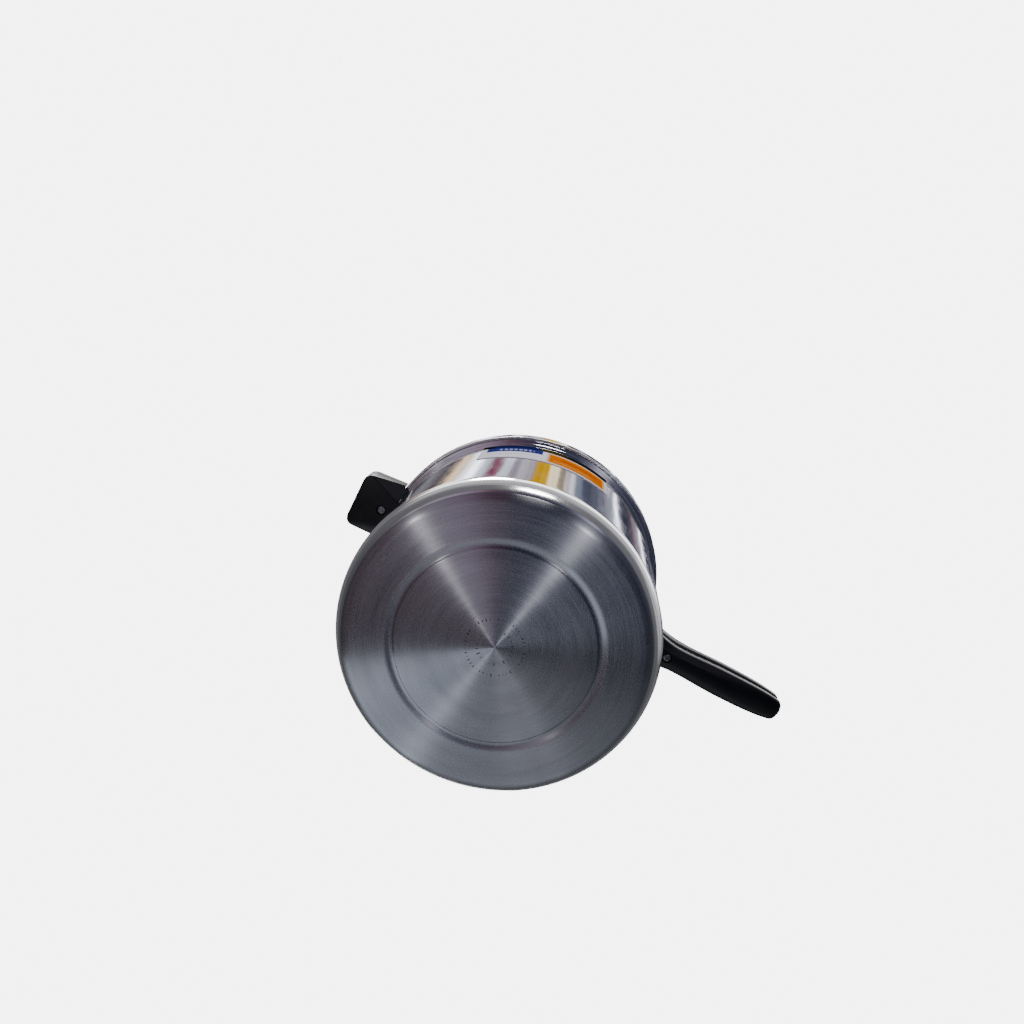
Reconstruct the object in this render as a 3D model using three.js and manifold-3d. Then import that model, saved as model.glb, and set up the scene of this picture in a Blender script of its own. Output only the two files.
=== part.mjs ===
// Stovetop pressure cooker with an outer lid: a spun aluminium pot, a bayonet lid with a sealing ring,
// three moulded handles, a vent pipe with its weight, and a fusible safety plug.
// Millimetres, +Z up, +X along the long handle. The origin is at the centre of the base.
import * as THREE from "three";
import { mergeVertices } from "three/addons/utils/BufferGeometryUtils.js";
import { ConvexGeometry } from "three/addons/geometries/ConvexGeometry.js";
import Module from "manifold-3d";

const wasm = await Module();
wasm.setup();

// ---------- driving dimensions ----------

const GAP = 0.3; // between pieces that touch
const ROUND = 48; // facets round the pot, the lid and the ring
const SMALL = 12; // facets round a screw or a rivet

const POT = { radius: 118, wall: 3, heelOut: 14, heelUp: 20, rim: 182 };
const NECK = { radius: 116.2, bottom: 170.6, top: 172.6 };
const BEAD = { radius: 120.5, bottom: 170.4, top: 171.6 }; // under the lid's skirt
const BASE = { floor: 5, disc: 72, groove: 1.1, width: 7 };
const LUG = { count: 6, potWidth: 28, lidWidth: 30, radius: 120.2, bottom: 176.8, thick: 2.5 };
const LID = {
  radius: 123, wall: 2.2, skirt: 172, shoulder: 190, corner: 6, channel: 88, plateau: 72, top: 206,
};
const LID_LUG = { bottom: 173.2, thick: 3, radius: 117 };
const RELEASE = { from: 104, to: 116, bottom: 178, height: 5 };
const RING = { inner: 109, outer: 120.2, bottom: 182.3, height: 5.2 };
const LABEL = { from: -129, to: -76.5, bottom: 98, top: 154, thick: 0.4 };

const LONG = { root: 112, neck: 10.8, belly: 12.4, tip: 262, edge: 2.5 };
const POT_HANDLE = { bottom: 160, top: 176, tipRise: 5 };
const LID_HANDLE = { bottom: 177, top: 192.5, tipDrop: 4, hump: 199, humpEnd: 170, inset: 0.6 };
const HELPER = {
  reach: 155, root: 105, rootHalf: 28.5, endHalf: 24, corner: 8, bottom: 160.5, top: 181.5, edge: 1.5,
  facet: 6,
};

const PLATE = { thick: 2, halfAngle: 8, bottom: 160.9, top: 170.2 };
const TONGUE = { half: 6, bottom: 166.5, thick: 2.5 };
const RIVET = { radius: 2, head: 3.6, headHeight: 1.6, angle: 5, height: 165.5 };
const SCREW = { radius: 2, head: 4, headHeight: 3, nut: 4.2, nutHeight: 3 };
const LONG_SCREW_X = 150;
const HELPER_SCREW_X = -130;
const LID_SCREW_X = 140;

const LID_BRACKET = { start: 96, half: 8, thick: 2, tongueBottom: 182.5, tongueEnd: 146 };
const LID_RIVET = { x: 103, y: 5.2 };

const VENT = {
  collar: 8, collarHeight: 5, pipe: 4.5, tip: 3.4, top: 234, shank: 4.6, bottom: 192, bore: 1.3,
};
const WEIGHT = { bottom: 215, radius: 14.5, waist: 12, top: 240, clearance: 0.6, capRadius: 17, capTop: 256 };
const NEEDLE = { radius: 1.6, top: 245, tip: 232.6 };
const PLUG = { x: -50, hex: 8.5, hexHeight: 6, shank: 4.6, bottom: 194, core: 2.3 };
const UNDER_NUT = { hex: 9, height: 4.5, washer: 9.5, washerThick: 1.5, clearance: 0.3 };

const LID_INSIDE = LID.top - LID.wall;
const degrees = THREE.MathUtils.degToRad;

// ---------- finishes ----------

const finish = (color, roughness, metalness) =>
  new THREE.MeshStandardMaterial({ color, roughness, metalness });
const ALUMINIUM = finish(0x9a9ca3, 0.3, 1);
const STEEL = finish(0xc4c6c9, 0.35, 1);
const BRASS = finish(0xb9975b, 0.4, 1);
const ALLOY = finish(0x8a8c8e, 0.6, 1);
const PHENOLIC = finish(0x111114, 0.3, 0);
const RUBBER = finish(0x2a2a2c, 0.85, 0);
const FIBRE = finish(0x5a3a30, 0.8, 0);
const PRINT = finish(0xe8e6e0, 0.4, 0);

// ---------- solids ----------

// A closed geometry as a solid that can be joined or cut.
function solid(geometry) {
  const bare = geometry.index ? geometry.toNonIndexed() : geometry.clone();
  bare.deleteAttribute("normal");
  bare.deleteAttribute("uv");
  const merged = mergeVertices(bare, 1e-3);
  return new wasm.Manifold(
    new wasm.Mesh({
      numProp: 3,
      vertProperties: merged.attributes.position.array,
      triVerts: new Uint32Array(merged.index.array),
    }),
  );
}

// A solid as a geometry with flat-shaded faces.
function geometryOf(body) {
  const { vertProperties, triVerts } = body.getMesh();
  const geometry = new THREE.BufferGeometry();
  geometry.setAttribute("position", new THREE.BufferAttribute(vertProperties, 3));
  geometry.setIndex(new THREE.BufferAttribute(triVerts, 1));
  const flat = geometry.toNonIndexed();
  flat.computeVertexNormals();
  return flat;
}

// A profile of [radius, height] pairs, run anticlockwise, turned about the Z axis.
function turned(profile, facets = ROUND) {
  const points = profile.map(([r, z]) => new THREE.Vector2(r, z));
  return new THREE.LatheGeometry(points, facets).rotateX(Math.PI / 2);
}

// A closed profile: the last point is the first one again.
const turnedRing = (profile, facets = ROUND) => turned([...profile, profile[0]], facets);

// A round rod along Z, from bottom to top.
function rod(radius, bottom, top, facets = SMALL) {
  const height = top - bottom;
  return new THREE.CylinderGeometry(radius, radius, height, facets)
    .rotateX(Math.PI / 2)
    .translate(0, 0, bottom + height / 2);
}

const hexagon = (radius, bottom, top) => rod(radius, bottom, top, 6);

// A block between two corners.
function block(x0, x1, y0, y1, z0, z1) {
  return new THREE.BoxGeometry(x1 - x0, y1 - y0, z1 - z0)
    .translate((x0 + x1) / 2, (y0 + y1) / 2, (z0 + z1) / 2);
}

// A curved plate between two radii, two angles in degrees and two heights.
function arcPlate(r0, r1, from, to, z0, z1) {
  const steps = Math.ceil((to - from) / 4);
  const along = Array.from({ length: steps + 1 }, (_, i) => degrees(from + ((to - from) * i) / steps));
  const at = (r) => (a) => new THREE.Vector2(r * Math.cos(a), r * Math.sin(a));
  const outline = [...along.map(at(r1)), ...along.reverse().map(at(r0))];
  return new THREE.ExtrudeGeometry(new THREE.Shape(outline), { depth: z1 - z0, bevelEnabled: false })
    .translate(0, 0, z0);
}

// An elliptical turn of a profile round a centre, from one angle to another.
function corner(centreR, centreZ, out, up, from, to, steps) {
  return Array.from({ length: steps + 1 }, (_, i) => {
    const a = degrees(from + ((to - from) * i) / steps);
    return [centreR + out * Math.cos(a), centreZ + up * Math.sin(a)];
  });
}

// Turns a geometry that lies along Z so that it points away from the Z axis.
const pointOut = (geometry, height, angle) =>
  geometry.rotateY(Math.PI / 2).translate(0, 0, height).rotateZ(degrees(angle));

// Angles in the middle of each lug, and in the middle of each gap between two lugs.
const lugAngles = Array.from({ length: LUG.count }, (_, i) => (360 / LUG.count) * i);
const gapCentre = 180 / LUG.count;

// The full flange, cut away between the lugs.
function cutBetweenLugs(body, width, r0, r1, z0, z1) {
  const half = (360 / LUG.count - width) / 2;
  return lugAngles.reduce((left, angle) => {
    const middle = angle + gapCentre;
    return left.subtract(solid(arcPlate(r0, r1, middle - half, middle + half, z0, z1)));
  }, body);
}

// ---------- pot ----------

const inside = POT.radius - POT.wall;
const lugTop = LUG.bottom + LUG.thick;
const neckInside = NECK.radius - POT.wall;

function potBody() {
  const heelCentre = POT.radius - POT.heelOut;
  const innerOut = POT.heelOut - POT.wall;
  const innerUp = POT.heelUp - BASE.floor;
  const profile = [
    [0, 0],
    [BASE.disc, 0],
    [BASE.disc + 1.2, BASE.groove],
    [BASE.disc + 3, BASE.groove],
    [BASE.disc + BASE.width, 0],
    ...corner(heelCentre, POT.heelUp, POT.heelOut, POT.heelUp, -90, 0, 6),
    [POT.radius, BEAD.bottom],
    [BEAD.radius, BEAD.bottom + 0.5],
    [BEAD.radius, BEAD.top],
    [NECK.radius, BEAD.top + 0.3],
    [NECK.radius, LUG.bottom - 0.2],
    [LUG.radius, LUG.bottom],
    [LUG.radius, lugTop],
    [NECK.radius, lugTop + 0.4],
    [NECK.radius, POT.rim],
    [neckInside, POT.rim],
    [neckInside, NECK.top + 1],
    [inside, NECK.bottom],
    ...corner(heelCentre, POT.heelUp, innerOut, innerUp, 0, -90, 4),
    [0, BASE.floor],
  ];
  const whole = solid(turned(profile));
  const lugged = cutBetweenLugs(
    whole, LUG.potWidth, NECK.radius + 0.2, LUG.radius + 2, LUG.bottom - 1, lugTop + 1,
  );
  return [-RIVET.angle, RIVET.angle, 180 - RIVET.angle, 180 + RIVET.angle].reduce(
    (body, angle) => body.subtract(
      solid(pointOut(rod(RIVET.radius + GAP, inside - 4, POT.radius + 4), RIVET.height, angle)),
    ),
    lugged,
  );
}

// ---------- handles ----------

// The long handles' outline from above: a flared root, a neck, a belly and a blunt tip.
// The lid handle's outline is narrower by an inset.
function longOutline(inset = 0) {
  const { root, tip } = LONG;
  const neck = LONG.neck - inset;
  const belly = LONG.belly - inset;
  const shoulder = belly * 0.72;
  const blunt = belly * 0.42;
  const shape = new THREE.Shape();
  shape.moveTo(root, inset - 26);
  shape.bezierCurveTo(root + 14, inset - 20, root + 26, -neck - 1.2, root + 46, -neck - 0.3);
  shape.bezierCurveTo(root + 62, -neck, root + 72, -belly, root + 95, -belly);
  shape.bezierCurveTo(root + 116, -belly, tip - 18, -belly + 1, tip - 5, -shoulder);
  shape.lineTo(tip, -blunt);
  shape.lineTo(tip, blunt);
  shape.lineTo(tip - 5, shoulder);
  shape.bezierCurveTo(tip - 18, belly - 1, root + 116, belly, root + 95, belly);
  shape.bezierCurveTo(root + 72, belly, root + 62, neck, root + 46, neck + 0.3);
  shape.bezierCurveTo(root + 26, neck + 1.2, root + 14, 20 - inset, root, 26 - inset);
  shape.closePath();
  return shape;
}

// An outline raised between two heights, with its edges taken off.
function moulded(shape, bottom, top, edge) {
  const geometry = new THREE.ExtrudeGeometry(shape, {
    depth: top - bottom - 2 * edge,
    bevelThickness: edge,
    bevelSize: edge,
    bevelOffset: -edge,
    bevelSegments: 2,
    curveSegments: 6,
  });
  return solid(geometry.translate(0, 0, bottom + edge));
}

// A side view in X and Z, as wide as any handle.
function sideCut(shape) {
  const width = 60;
  return solid(
    new THREE.ExtrudeGeometry(shape, { depth: width, bevelEnabled: false, curveSegments: 6 })
      .rotateX(Math.PI / 2)
      .translate(0, width / 2, 0),
  );
}

// The room that a bracket, its rivets, its screw and its nut need inside a handle.
function bracketRoom(screwX, bottom) {
  const reach = Math.abs(screwX) + SCREW.nut + GAP;
  const tongueTop = TONGUE.bottom + TONGUE.thick;
  const wall = POT.radius;
  const headRoom = PLATE.thick + 2 * GAP + RIVET.headHeight;
  const pieces = [
    arcPlate(wall, wall + PLATE.thick + 2 * GAP, -PLATE.halfAngle - 0.3, PLATE.halfAngle + 0.3,
      PLATE.bottom - GAP, PLATE.top + GAP),
    block(wall, reach + 1, -TONGUE.half - GAP, TONGUE.half + GAP,
      TONGUE.bottom - GAP, tongueTop + SCREW.nutHeight + 2 * GAP),
    ...[-1, 1].map((side) => pointOut(
      rod(RIVET.head + GAP, wall, wall + headRoom + GAP), RIVET.height, side * RIVET.angle,
    )),
    rod(SCREW.radius + GAP, bottom - 1, tongueTop).translate(Math.abs(screwX), 0, 0),
    rod(SCREW.head + GAP, bottom - 1, bottom + SCREW.headHeight + 1 + GAP).translate(Math.abs(screwX), 0, 0),
  ];
  const turn = screwX < 0 ? Math.PI : 0;
  return pieces
    .map((piece) => solid(piece.rotateZ(turn)))
    .reduce((all, piece) => all.add(piece));
}

// The pot's wall and, above it, the lid's skirt, as a handle on the wall has to clear them.
const potRoom = () => solid(rod(POT.radius + GAP + 0.1, 100, 200, ROUND))
  .add(solid(rod(LID.radius + 2 * GAP, BEAD.bottom - GAP, 200, ROUND)));

function potHandle() {
  const { bottom, top, tipRise } = POT_HANDLE;
  const side = new THREE.Shape();
  side.moveTo(100, bottom);
  side.lineTo(195, bottom);
  side.bezierCurveTo(220, bottom, 242, bottom + 2, LONG.tip + 1, bottom + tipRise);
  side.lineTo(LONG.tip + 1, top + 1);
  side.lineTo(100, top + 1);
  side.closePath();
  return moulded(longOutline(), bottom, top, LONG.edge)
    .intersect(sideCut(side))
    .subtract(potRoom())
    .subtract(bracketRoom(LONG_SCREW_X, bottom));
}

function helperHandle() {
  const { reach, root, rootHalf, endHalf, corner: r, bottom, top, edge, facet } = HELPER;
  const shape = new THREE.Shape();
  shape.moveTo(-root, rootHalf);
  shape.lineTo(-reach + r, endHalf);
  shape.quadraticCurveTo(-reach, endHalf, -reach, endHalf - r);
  shape.lineTo(-reach, r - endHalf);
  shape.quadraticCurveTo(-reach, -endHalf, -reach + r, -endHalf);
  shape.lineTo(-root, -rootHalf);
  shape.closePath();
  // Facets that narrow the underside towards the wall.
  const facets = [-1, 1].map((side) => solid(new ConvexGeometry([
    new THREE.Vector3(-reach - 1, side * (endHalf + 1), bottom - 1),
    new THREE.Vector3(-root, side * facet, bottom - 1),
    new THREE.Vector3(-root, side * (rootHalf + 2), top - 3),
    new THREE.Vector3(-root, side * (rootHalf + 2), bottom - 1),
  ])));
  return facets
    .reduce((body, piece) => body.subtract(piece), moulded(shape, bottom, top, edge))
    .subtract(potRoom())
    .subtract(bracketRoom(HELPER_SCREW_X, bottom));
}

// The lid handle lies just over the long handle. Its root rises to cover the bracket.
function lidHandle() {
  const { bottom, top, tipDrop, hump, humpEnd, inset } = LID_HANDLE;
  const skirt = LID.radius + GAP + 0.1;
  const side = new THREE.Shape();
  side.moveTo(100, bottom - 1);
  side.lineTo(LONG.tip + 1, bottom - 1);
  side.lineTo(LONG.tip + 1, top - tipDrop);
  side.bezierCurveTo(242, top - 1, 222, top, 196, top);
  side.bezierCurveTo(184, top, 180, top, humpEnd, top + 1.5);
  side.bezierCurveTo(158, top + 4, 154, hump, 138, hump);
  side.lineTo(100, hump);
  side.closePath();
  const { half, thick, start, tongueBottom, tongueEnd } = LID_BRACKET;
  const plateTop = LID.shoulder + GAP + thick;
  const tongueTop = tongueBottom + TONGUE.thick;
  const room = [
    rod(skirt, 100, 210, ROUND),
    block(start, skirt + thick + GAP, -half - GAP, half + GAP, tongueBottom - GAP, plateTop + GAP),
    block(skirt - 1, tongueEnd + GAP, -half - GAP, half + GAP, tongueBottom - GAP, tongueTop + GAP),
    block(LID_SCREW_X - 5, tongueEnd + GAP, -half - GAP, half + GAP,
      tongueBottom - GAP, tongueTop + SCREW.nutHeight + 2 * GAP),
    rod(SCREW.radius + GAP, bottom - 1, tongueTop).translate(LID_SCREW_X, 0, 0),
    rod(SCREW.head + GAP, bottom - 1, bottom + SCREW.headHeight + GAP + 0.5).translate(LID_SCREW_X, 0, 0),
  ];
  return room.reduce(
    (body, piece) => body.subtract(solid(piece)),
    moulded(longOutline(inset), bottom, hump + LONG.edge, LONG.edge).intersect(sideCut(side)),
  );
}

// ---------- brackets and fasteners ----------

// A curved plate on the wall with a tongue that goes into the handle.
function wallBracket(screwX) {
  const wall = POT.radius + GAP;
  const { bottom, thick, half } = TONGUE;
  const end = Math.abs(screwX) + SCREW.nut;
  const plate = solid(
    arcPlate(wall, wall + PLATE.thick, -PLATE.halfAngle, PLATE.halfAngle, PLATE.bottom, PLATE.top),
  );
  const holes = [
    rod(SCREW.radius + GAP, bottom - 1, bottom + thick + 1).translate(Math.abs(screwX), 0, 0),
    ...[-1, 1].map((side) => pointOut(
      rod(RIVET.radius + GAP, wall - 2, wall + PLATE.thick + 2), RIVET.height, side * RIVET.angle)),
  ];
  const whole = plate.add(solid(block(wall + PLATE.thick / 2, end, -half, half, bottom, bottom + thick)));
  const turn = screwX < 0 ? Math.PI : 0;
  return geometryOf(holes.reduce((body, hole) => body.subtract(solid(hole)), whole)).rotateZ(turn);
}

// A strap that lies on the lid, turns down outside the skirt and ends in the handle's tongue.
function lidBracket() {
  const { start, half, thick, tongueBottom, tongueEnd } = LID_BRACKET;
  const leg = LID.radius + GAP + 0.1;
  const plateBottom = LID.shoulder + GAP;
  const parts = [
    block(start, leg + thick, -half, half, plateBottom, plateBottom + thick),
    block(leg, leg + thick, -half, half, tongueBottom, plateBottom + thick),
    block(leg, tongueEnd, -half, half, tongueBottom, tongueBottom + TONGUE.thick),
  ];
  const holes = [
    rod(SCREW.radius + GAP, tongueBottom - 1, tongueBottom + TONGUE.thick + 1).translate(LID_SCREW_X, 0, 0),
    ...[-1, 1].map((side) => rod(RIVET.radius + GAP, plateBottom - 1, plateBottom + thick + 1)
      .translate(LID_RIVET.x, side * LID_RIVET.y, 0)),
  ];
  const whole = parts.map(solid).reduce((all, piece) => all.add(piece));
  return holes.reduce((body, hole) => body.subtract(solid(hole)), whole);
}

// A rivet along Z with a round head at each end of its grip.
function rivet(grip) {
  const { radius, head, headHeight } = RIVET;
  const half = grip / 2;
  return turned([
    [0, -half - headHeight],
    [head * 0.7, -half - headHeight * 0.75],
    [head, -half],
    [radius, -half],
    [radius, half],
    [head, half],
    [head * 0.7, half + headHeight * 0.75],
    [0, half + headHeight],
  ], SMALL);
}

// A pan-head screw that points up, with a cross slot in its head.
function screw(headBottom, tip) {
  const { radius, head, headHeight } = SCREW;
  const body = solid(turned([
    [0, headBottom],
    [head * 0.75, headBottom],
    [head, headBottom + 1],
    [head, headBottom + headHeight],
    [radius, headBottom + headHeight],
    [radius, tip - 0.8],
    [radius * 0.6, tip],
    [0, tip],
  ], SMALL));
  const slots = [
    block(-head * 0.6, head * 0.6, -0.5, 0.5, headBottom - 1, headBottom + 1.2),
    block(-0.5, 0.5, -head * 0.6, head * 0.6, headBottom - 1, headBottom + 1.2),
  ];
  return slots.reduce((left, slot) => left.subtract(solid(slot)), body);
}

const nut = (radius, bore, bottom, top) =>
  solid(hexagon(radius, bottom, top)).subtract(solid(rod(bore, bottom - 1, top + 1)));

const washer = (radius, bore, bottom, top) =>
  turnedRing([[bore, bottom], [radius, bottom], [radius, top], [bore, top]], 24);

// ---------- lid ----------

function lidShell() {
  const { radius, wall, skirt, shoulder, corner: round, channel, plateau, top } = LID;
  const bore = radius - wall;
  const hole = VENT.shank + GAP;
  const profile = [
    [hole, LID_INSIDE],
    [plateau - 3.5, LID_INSIDE],
    [plateau, LID_INSIDE - 2],
    [channel - 4.5, shoulder - wall + 1.5],
    [channel - 1, shoulder - wall],
    ...corner(radius - round, shoulder - round, round - wall, round - wall, 90, 0, 2),
    [bore, LID_LUG.bottom + LID_LUG.thick],
    [LID_LUG.radius, LID_LUG.bottom + LID_LUG.thick],
    [LID_LUG.radius, LID_LUG.bottom],
    [bore, LID_LUG.bottom - 0.4],
    [bore, skirt],
    [radius, skirt],
    ...corner(radius - round, shoulder - round, round, round, 0, 90, 3),
    [channel, shoulder],
    [channel - 2.5, shoulder + 1.2],
    [plateau + 1.5, top - 1.5],
    [plateau - 2.5, top],
    [hole, top],
  ];
  const whole = solid(turnedRing(profile));
  const lugged = cutBetweenLugs(
    whole, LUG.lidWidth, LID_LUG.radius - 2, bore - 0.1,
    LID_LUG.bottom - 1, LID_LUG.bottom + LID_LUG.thick + 1,
  );
  const { from, to, bottom, height } = RELEASE;
  const holes = [
    arcPlate(bore - 3, radius + 3, from, to, bottom, bottom + height),
    rod(PLUG.shank + GAP, shoulder, top + 2).translate(PLUG.x, 0, 0),
    ...[-1, 1].map((side) => rod(RIVET.radius + GAP, shoulder - wall - 2, shoulder + 2)
      .translate(LID_RIVET.x, side * LID_RIVET.y, 0)),
  ];
  return holes.reduce((body, piece) => body.subtract(solid(piece)), lugged);
}

// The rubber ring: a flat back against the lid, and a lip that sits on the pot's rim.
function sealingRing() {
  const { inner, outer, bottom, height } = RING;
  const top = bottom + height;
  return turnedRing([
    [inner + 2, bottom],
    [outer, bottom],
    [outer, top - 3],
    [outer - 2.5, top - 0.3],
    [inner + 1, top - 0.3],
    [inner, top - 2],
  ]);
}

const label = () => arcPlate(
  POT.radius + GAP, POT.radius + GAP + LABEL.thick, LABEL.from, LABEL.to, LABEL.bottom, LABEL.top,
);

// ---------- vent, weight and safety plug ----------

function ventPipe() {
  const { collar, collarHeight, pipe, tip, top, shank, bottom, bore } = VENT;
  const seat = LID.top + GAP;
  return turnedRing([
    [bore, bottom],
    [shank - 0.6, bottom],
    [shank, bottom + 0.8],
    [shank, seat],
    [collar, seat],
    [collar, seat + collarHeight - 1],
    [collar - 1, seat + collarHeight],
    [pipe, seat + collarHeight],
    [pipe, top - 5],
    [tip, top - 1],
    [tip - 0.8, top],
    [bore, top],
  ], 24);
}

// The needle closes the pipe's mouth with its cone.
function regulatorNeedle() {
  const { radius, top, tip } = NEEDLE;
  return turned([
    [0, tip],
    [radius, VENT.top + 1.4],
    [radius, top],
    [0, top],
  ], SMALL);
}

// The weight hangs over the pipe. Its bore has room for the pipe and, above it, for the needle.
function regulatorWeight() {
  const { bottom, radius, waist, top, clearance } = WEIGHT;
  const bore = VENT.pipe + clearance;
  const needleBore = NEEDLE.radius + GAP;
  return turnedRing([
    [bore, bottom],
    [waist - 1.5, bottom],
    [waist, bottom + 1.5],
    [waist, bottom + 6],
    [radius, bottom + 9],
    [radius, top - 1.5],
    [radius - 1.5, top],
    [needleBore, top],
    [needleBore, VENT.top + 2.4],
    [bore, VENT.top + 1],
  ], 32);
}

function regulatorCap() {
  const { top, capRadius, capTop } = WEIGHT;
  const bottom = top + GAP;
  const pocket = NEEDLE.radius + GAP + 0.4;
  const body = solid(turned([
    [0, NEEDLE.top + 1],
    [pocket, NEEDLE.top + 1],
    [pocket, bottom],
    [capRadius - 3, bottom],
    [capRadius, bottom + 2],
    [capRadius - 0.5, bottom + 8],
    [capRadius - 3, capTop - 2.5],
    [capRadius - 7, capTop - 0.4],
    [0, capTop],
  ], 32));
  const flutes = Array.from({ length: 8 }, (_, i) => solid(
    rod(3.2, bottom - 1, capTop + 1, 10).translate(capRadius + 1.6, 0, 0).rotateZ(degrees(45 * i + 22.5)),
  ));
  return flutes.reduce((left, flute) => left.subtract(flute), body);
}

function plugBody() {
  const { hex, hexHeight, shank, bottom, core } = PLUG;
  const seat = LID.top + GAP;
  const bolt = solid(rod(shank, bottom, seat + 1, 24)).add(solid(hexagon(hex, seat, seat + hexHeight)));
  return bolt.subtract(solid(rod(core + GAP, bottom - 1, seat + hexHeight + 1)));
}

const plugCore = () => rod(PLUG.core, PLUG.bottom + 1, LID.top + GAP + PLUG.hexHeight - 1);

// ---------- assembly ----------

const cooker = new THREE.Group();
const pot = new THREE.Group();
const lid = new THREE.Group();
const regulator = new THREE.Group();
lid.add(regulator);
cooker.add(pot, lid);

function add(group, name, shape, material, place = {}) {
  const geometry = shape instanceof THREE.BufferGeometry ? shape : geometryOf(shape);
  const mesh = new THREE.Mesh(geometry, material);
  mesh.name = name;
  mesh.position.set(place.x ?? 0, place.y ?? 0, place.z ?? 0);
  group.add(mesh);
}

add(pot, "pot_body", potBody(), ALUMINIUM);
add(pot, "wall_label", label(), PRINT);

const wallGrip = POT.wall + PLATE.thick + 3 * GAP;
const wallMiddle = (inside - GAP + POT.radius + PLATE.thick + 2 * GAP) / 2;
const wallFastening = [
  { side: "handle", angle: 0, x: LONG_SCREW_X, bottom: POT_HANDLE.bottom },
  { side: "helper", angle: 180, x: HELPER_SCREW_X, bottom: HELPER.bottom },
];
for (const { side, angle, x, bottom } of wallFastening) {
  const nutBottom = TONGUE.bottom + TONGUE.thick + GAP;
  const nutTop = nutBottom + SCREW.nutHeight;
  add(pot, `${side}_bracket`, wallBracket(x), STEEL);
  add(pot, `${side}_screw`, screw(bottom + 0.8, nutTop), STEEL, { x });
  add(pot, `${side}_nut`, nut(SCREW.nut, SCREW.radius + GAP, nutBottom, nutTop), STEEL, { x });
  for (const [end, offset] of [["a", -RIVET.angle], ["b", RIVET.angle]]) {
    const turn = degrees(angle + offset);
    const spoke = new THREE.Group();
    spoke.rotation.z = turn;
    const body = rivet(wallGrip).rotateY(Math.PI / 2);
    add(spoke, `${side}_rivet_${end}`, body, ALUMINIUM, { x: wallMiddle, z: RIVET.height });
    pot.add(spoke);
  }
}
add(pot, "pot_handle", potHandle(), PHENOLIC);
add(pot, "helper_handle", helperHandle(), PHENOLIC);

add(lid, "lid_shell", lidShell(), ALUMINIUM);
add(lid, "sealing_ring", sealingRing(), RUBBER);
add(lid, "lid_handle", lidHandle(), PHENOLIC);
add(lid, "lid_bracket", lidBracket(), STEEL);
const lidNut = LID_BRACKET.tongueBottom + TONGUE.thick + GAP;
const lidNutTop = lidNut + SCREW.nutHeight;
add(lid, "lid_screw", screw(LID_HANDLE.bottom + 0.5, lidNutTop), STEEL, { x: LID_SCREW_X });
add(lid, "lid_nut", nut(SCREW.nut, SCREW.radius + GAP, lidNut, lidNutTop), STEEL, { x: LID_SCREW_X });
const lidGrip = LID.wall + LID_BRACKET.thick + 3 * GAP;
const lidRivetMiddle = LID.shoulder - LID.wall - GAP + lidGrip / 2;
for (const [end, side] of [["a", -1], ["b", 1]]) {
  const place = { x: LID_RIVET.x, y: side * LID_RIVET.y, z: lidRivetMiddle };
  add(lid, `lid_rivet_${end}`, rivet(lidGrip), ALUMINIUM, place);
}

const washerTop = LID_INSIDE - GAP;
const nutTop = washerTop - UNDER_NUT.washerThick - GAP;
const underLid = [
  { piece: "vent", x: 0, shank: VENT.shank },
  { piece: "plug", x: PLUG.x, shank: PLUG.shank },
];
for (const { piece, x, shank } of underLid) {
  const bore = shank + UNDER_NUT.clearance;
  const { hex, height, washer: wide, washerThick } = UNDER_NUT;
  add(lid, `${piece}_washer`, washer(wide, bore, washerTop - washerThick, washerTop), FIBRE, { x });
  add(lid, `${piece}_nut`, nut(hex, bore, nutTop - height, nutTop), BRASS, { x });
}
add(lid, "vent_pipe", ventPipe(), BRASS);
add(lid, "plug_body", plugBody(), BRASS, { x: PLUG.x });
add(lid, "plug_core", plugCore(), ALLOY, { x: PLUG.x });

add(regulator, "regulator_needle", regulatorNeedle(), STEEL);
add(regulator, "regulator_weight", regulatorWeight(), STEEL);
add(regulator, "regulator_cap", regulatorCap(), PHENOLIC);

export default cooker;
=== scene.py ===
"""Stovetop pressure cooker: a spun aluminium pot under an outer lid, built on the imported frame."""

import logging
import math
from dataclasses import dataclass
from enum import Enum
from typing import Callable, Sequence

import bmesh
import bpy
from mathutils import Matrix, Vector


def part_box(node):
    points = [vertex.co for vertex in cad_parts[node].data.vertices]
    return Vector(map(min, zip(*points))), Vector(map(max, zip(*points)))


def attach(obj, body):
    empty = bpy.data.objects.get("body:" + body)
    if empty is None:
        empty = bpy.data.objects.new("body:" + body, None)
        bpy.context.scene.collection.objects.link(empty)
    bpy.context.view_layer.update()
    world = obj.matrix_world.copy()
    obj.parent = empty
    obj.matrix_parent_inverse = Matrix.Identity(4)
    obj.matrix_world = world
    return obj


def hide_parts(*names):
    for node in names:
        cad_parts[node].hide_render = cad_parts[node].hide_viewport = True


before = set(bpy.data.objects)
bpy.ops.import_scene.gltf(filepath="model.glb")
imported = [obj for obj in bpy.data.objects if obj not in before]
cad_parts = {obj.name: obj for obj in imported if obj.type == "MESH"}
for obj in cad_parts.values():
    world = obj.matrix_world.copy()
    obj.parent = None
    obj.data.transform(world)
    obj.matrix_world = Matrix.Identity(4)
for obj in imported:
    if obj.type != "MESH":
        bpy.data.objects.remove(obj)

LOG = logging.getLogger("cooker")
MM = 0.001
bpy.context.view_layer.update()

Colour = tuple[float, float, float]
Point = tuple[float, float]
Point3 = tuple[float, float, float]
Bands = tuple[tuple[float, Colour], ...]
Socket = bpy.types.NodeSocket
Piece = bpy.types.Object
Node = bpy.types.Node
Mesh = bmesh.types.BMesh


class Body(Enum):
    """The bodies of the frame that pieces ride on."""

    POT = "pot"
    LID = "lid"
    WEIGHT = "regulator"


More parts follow.
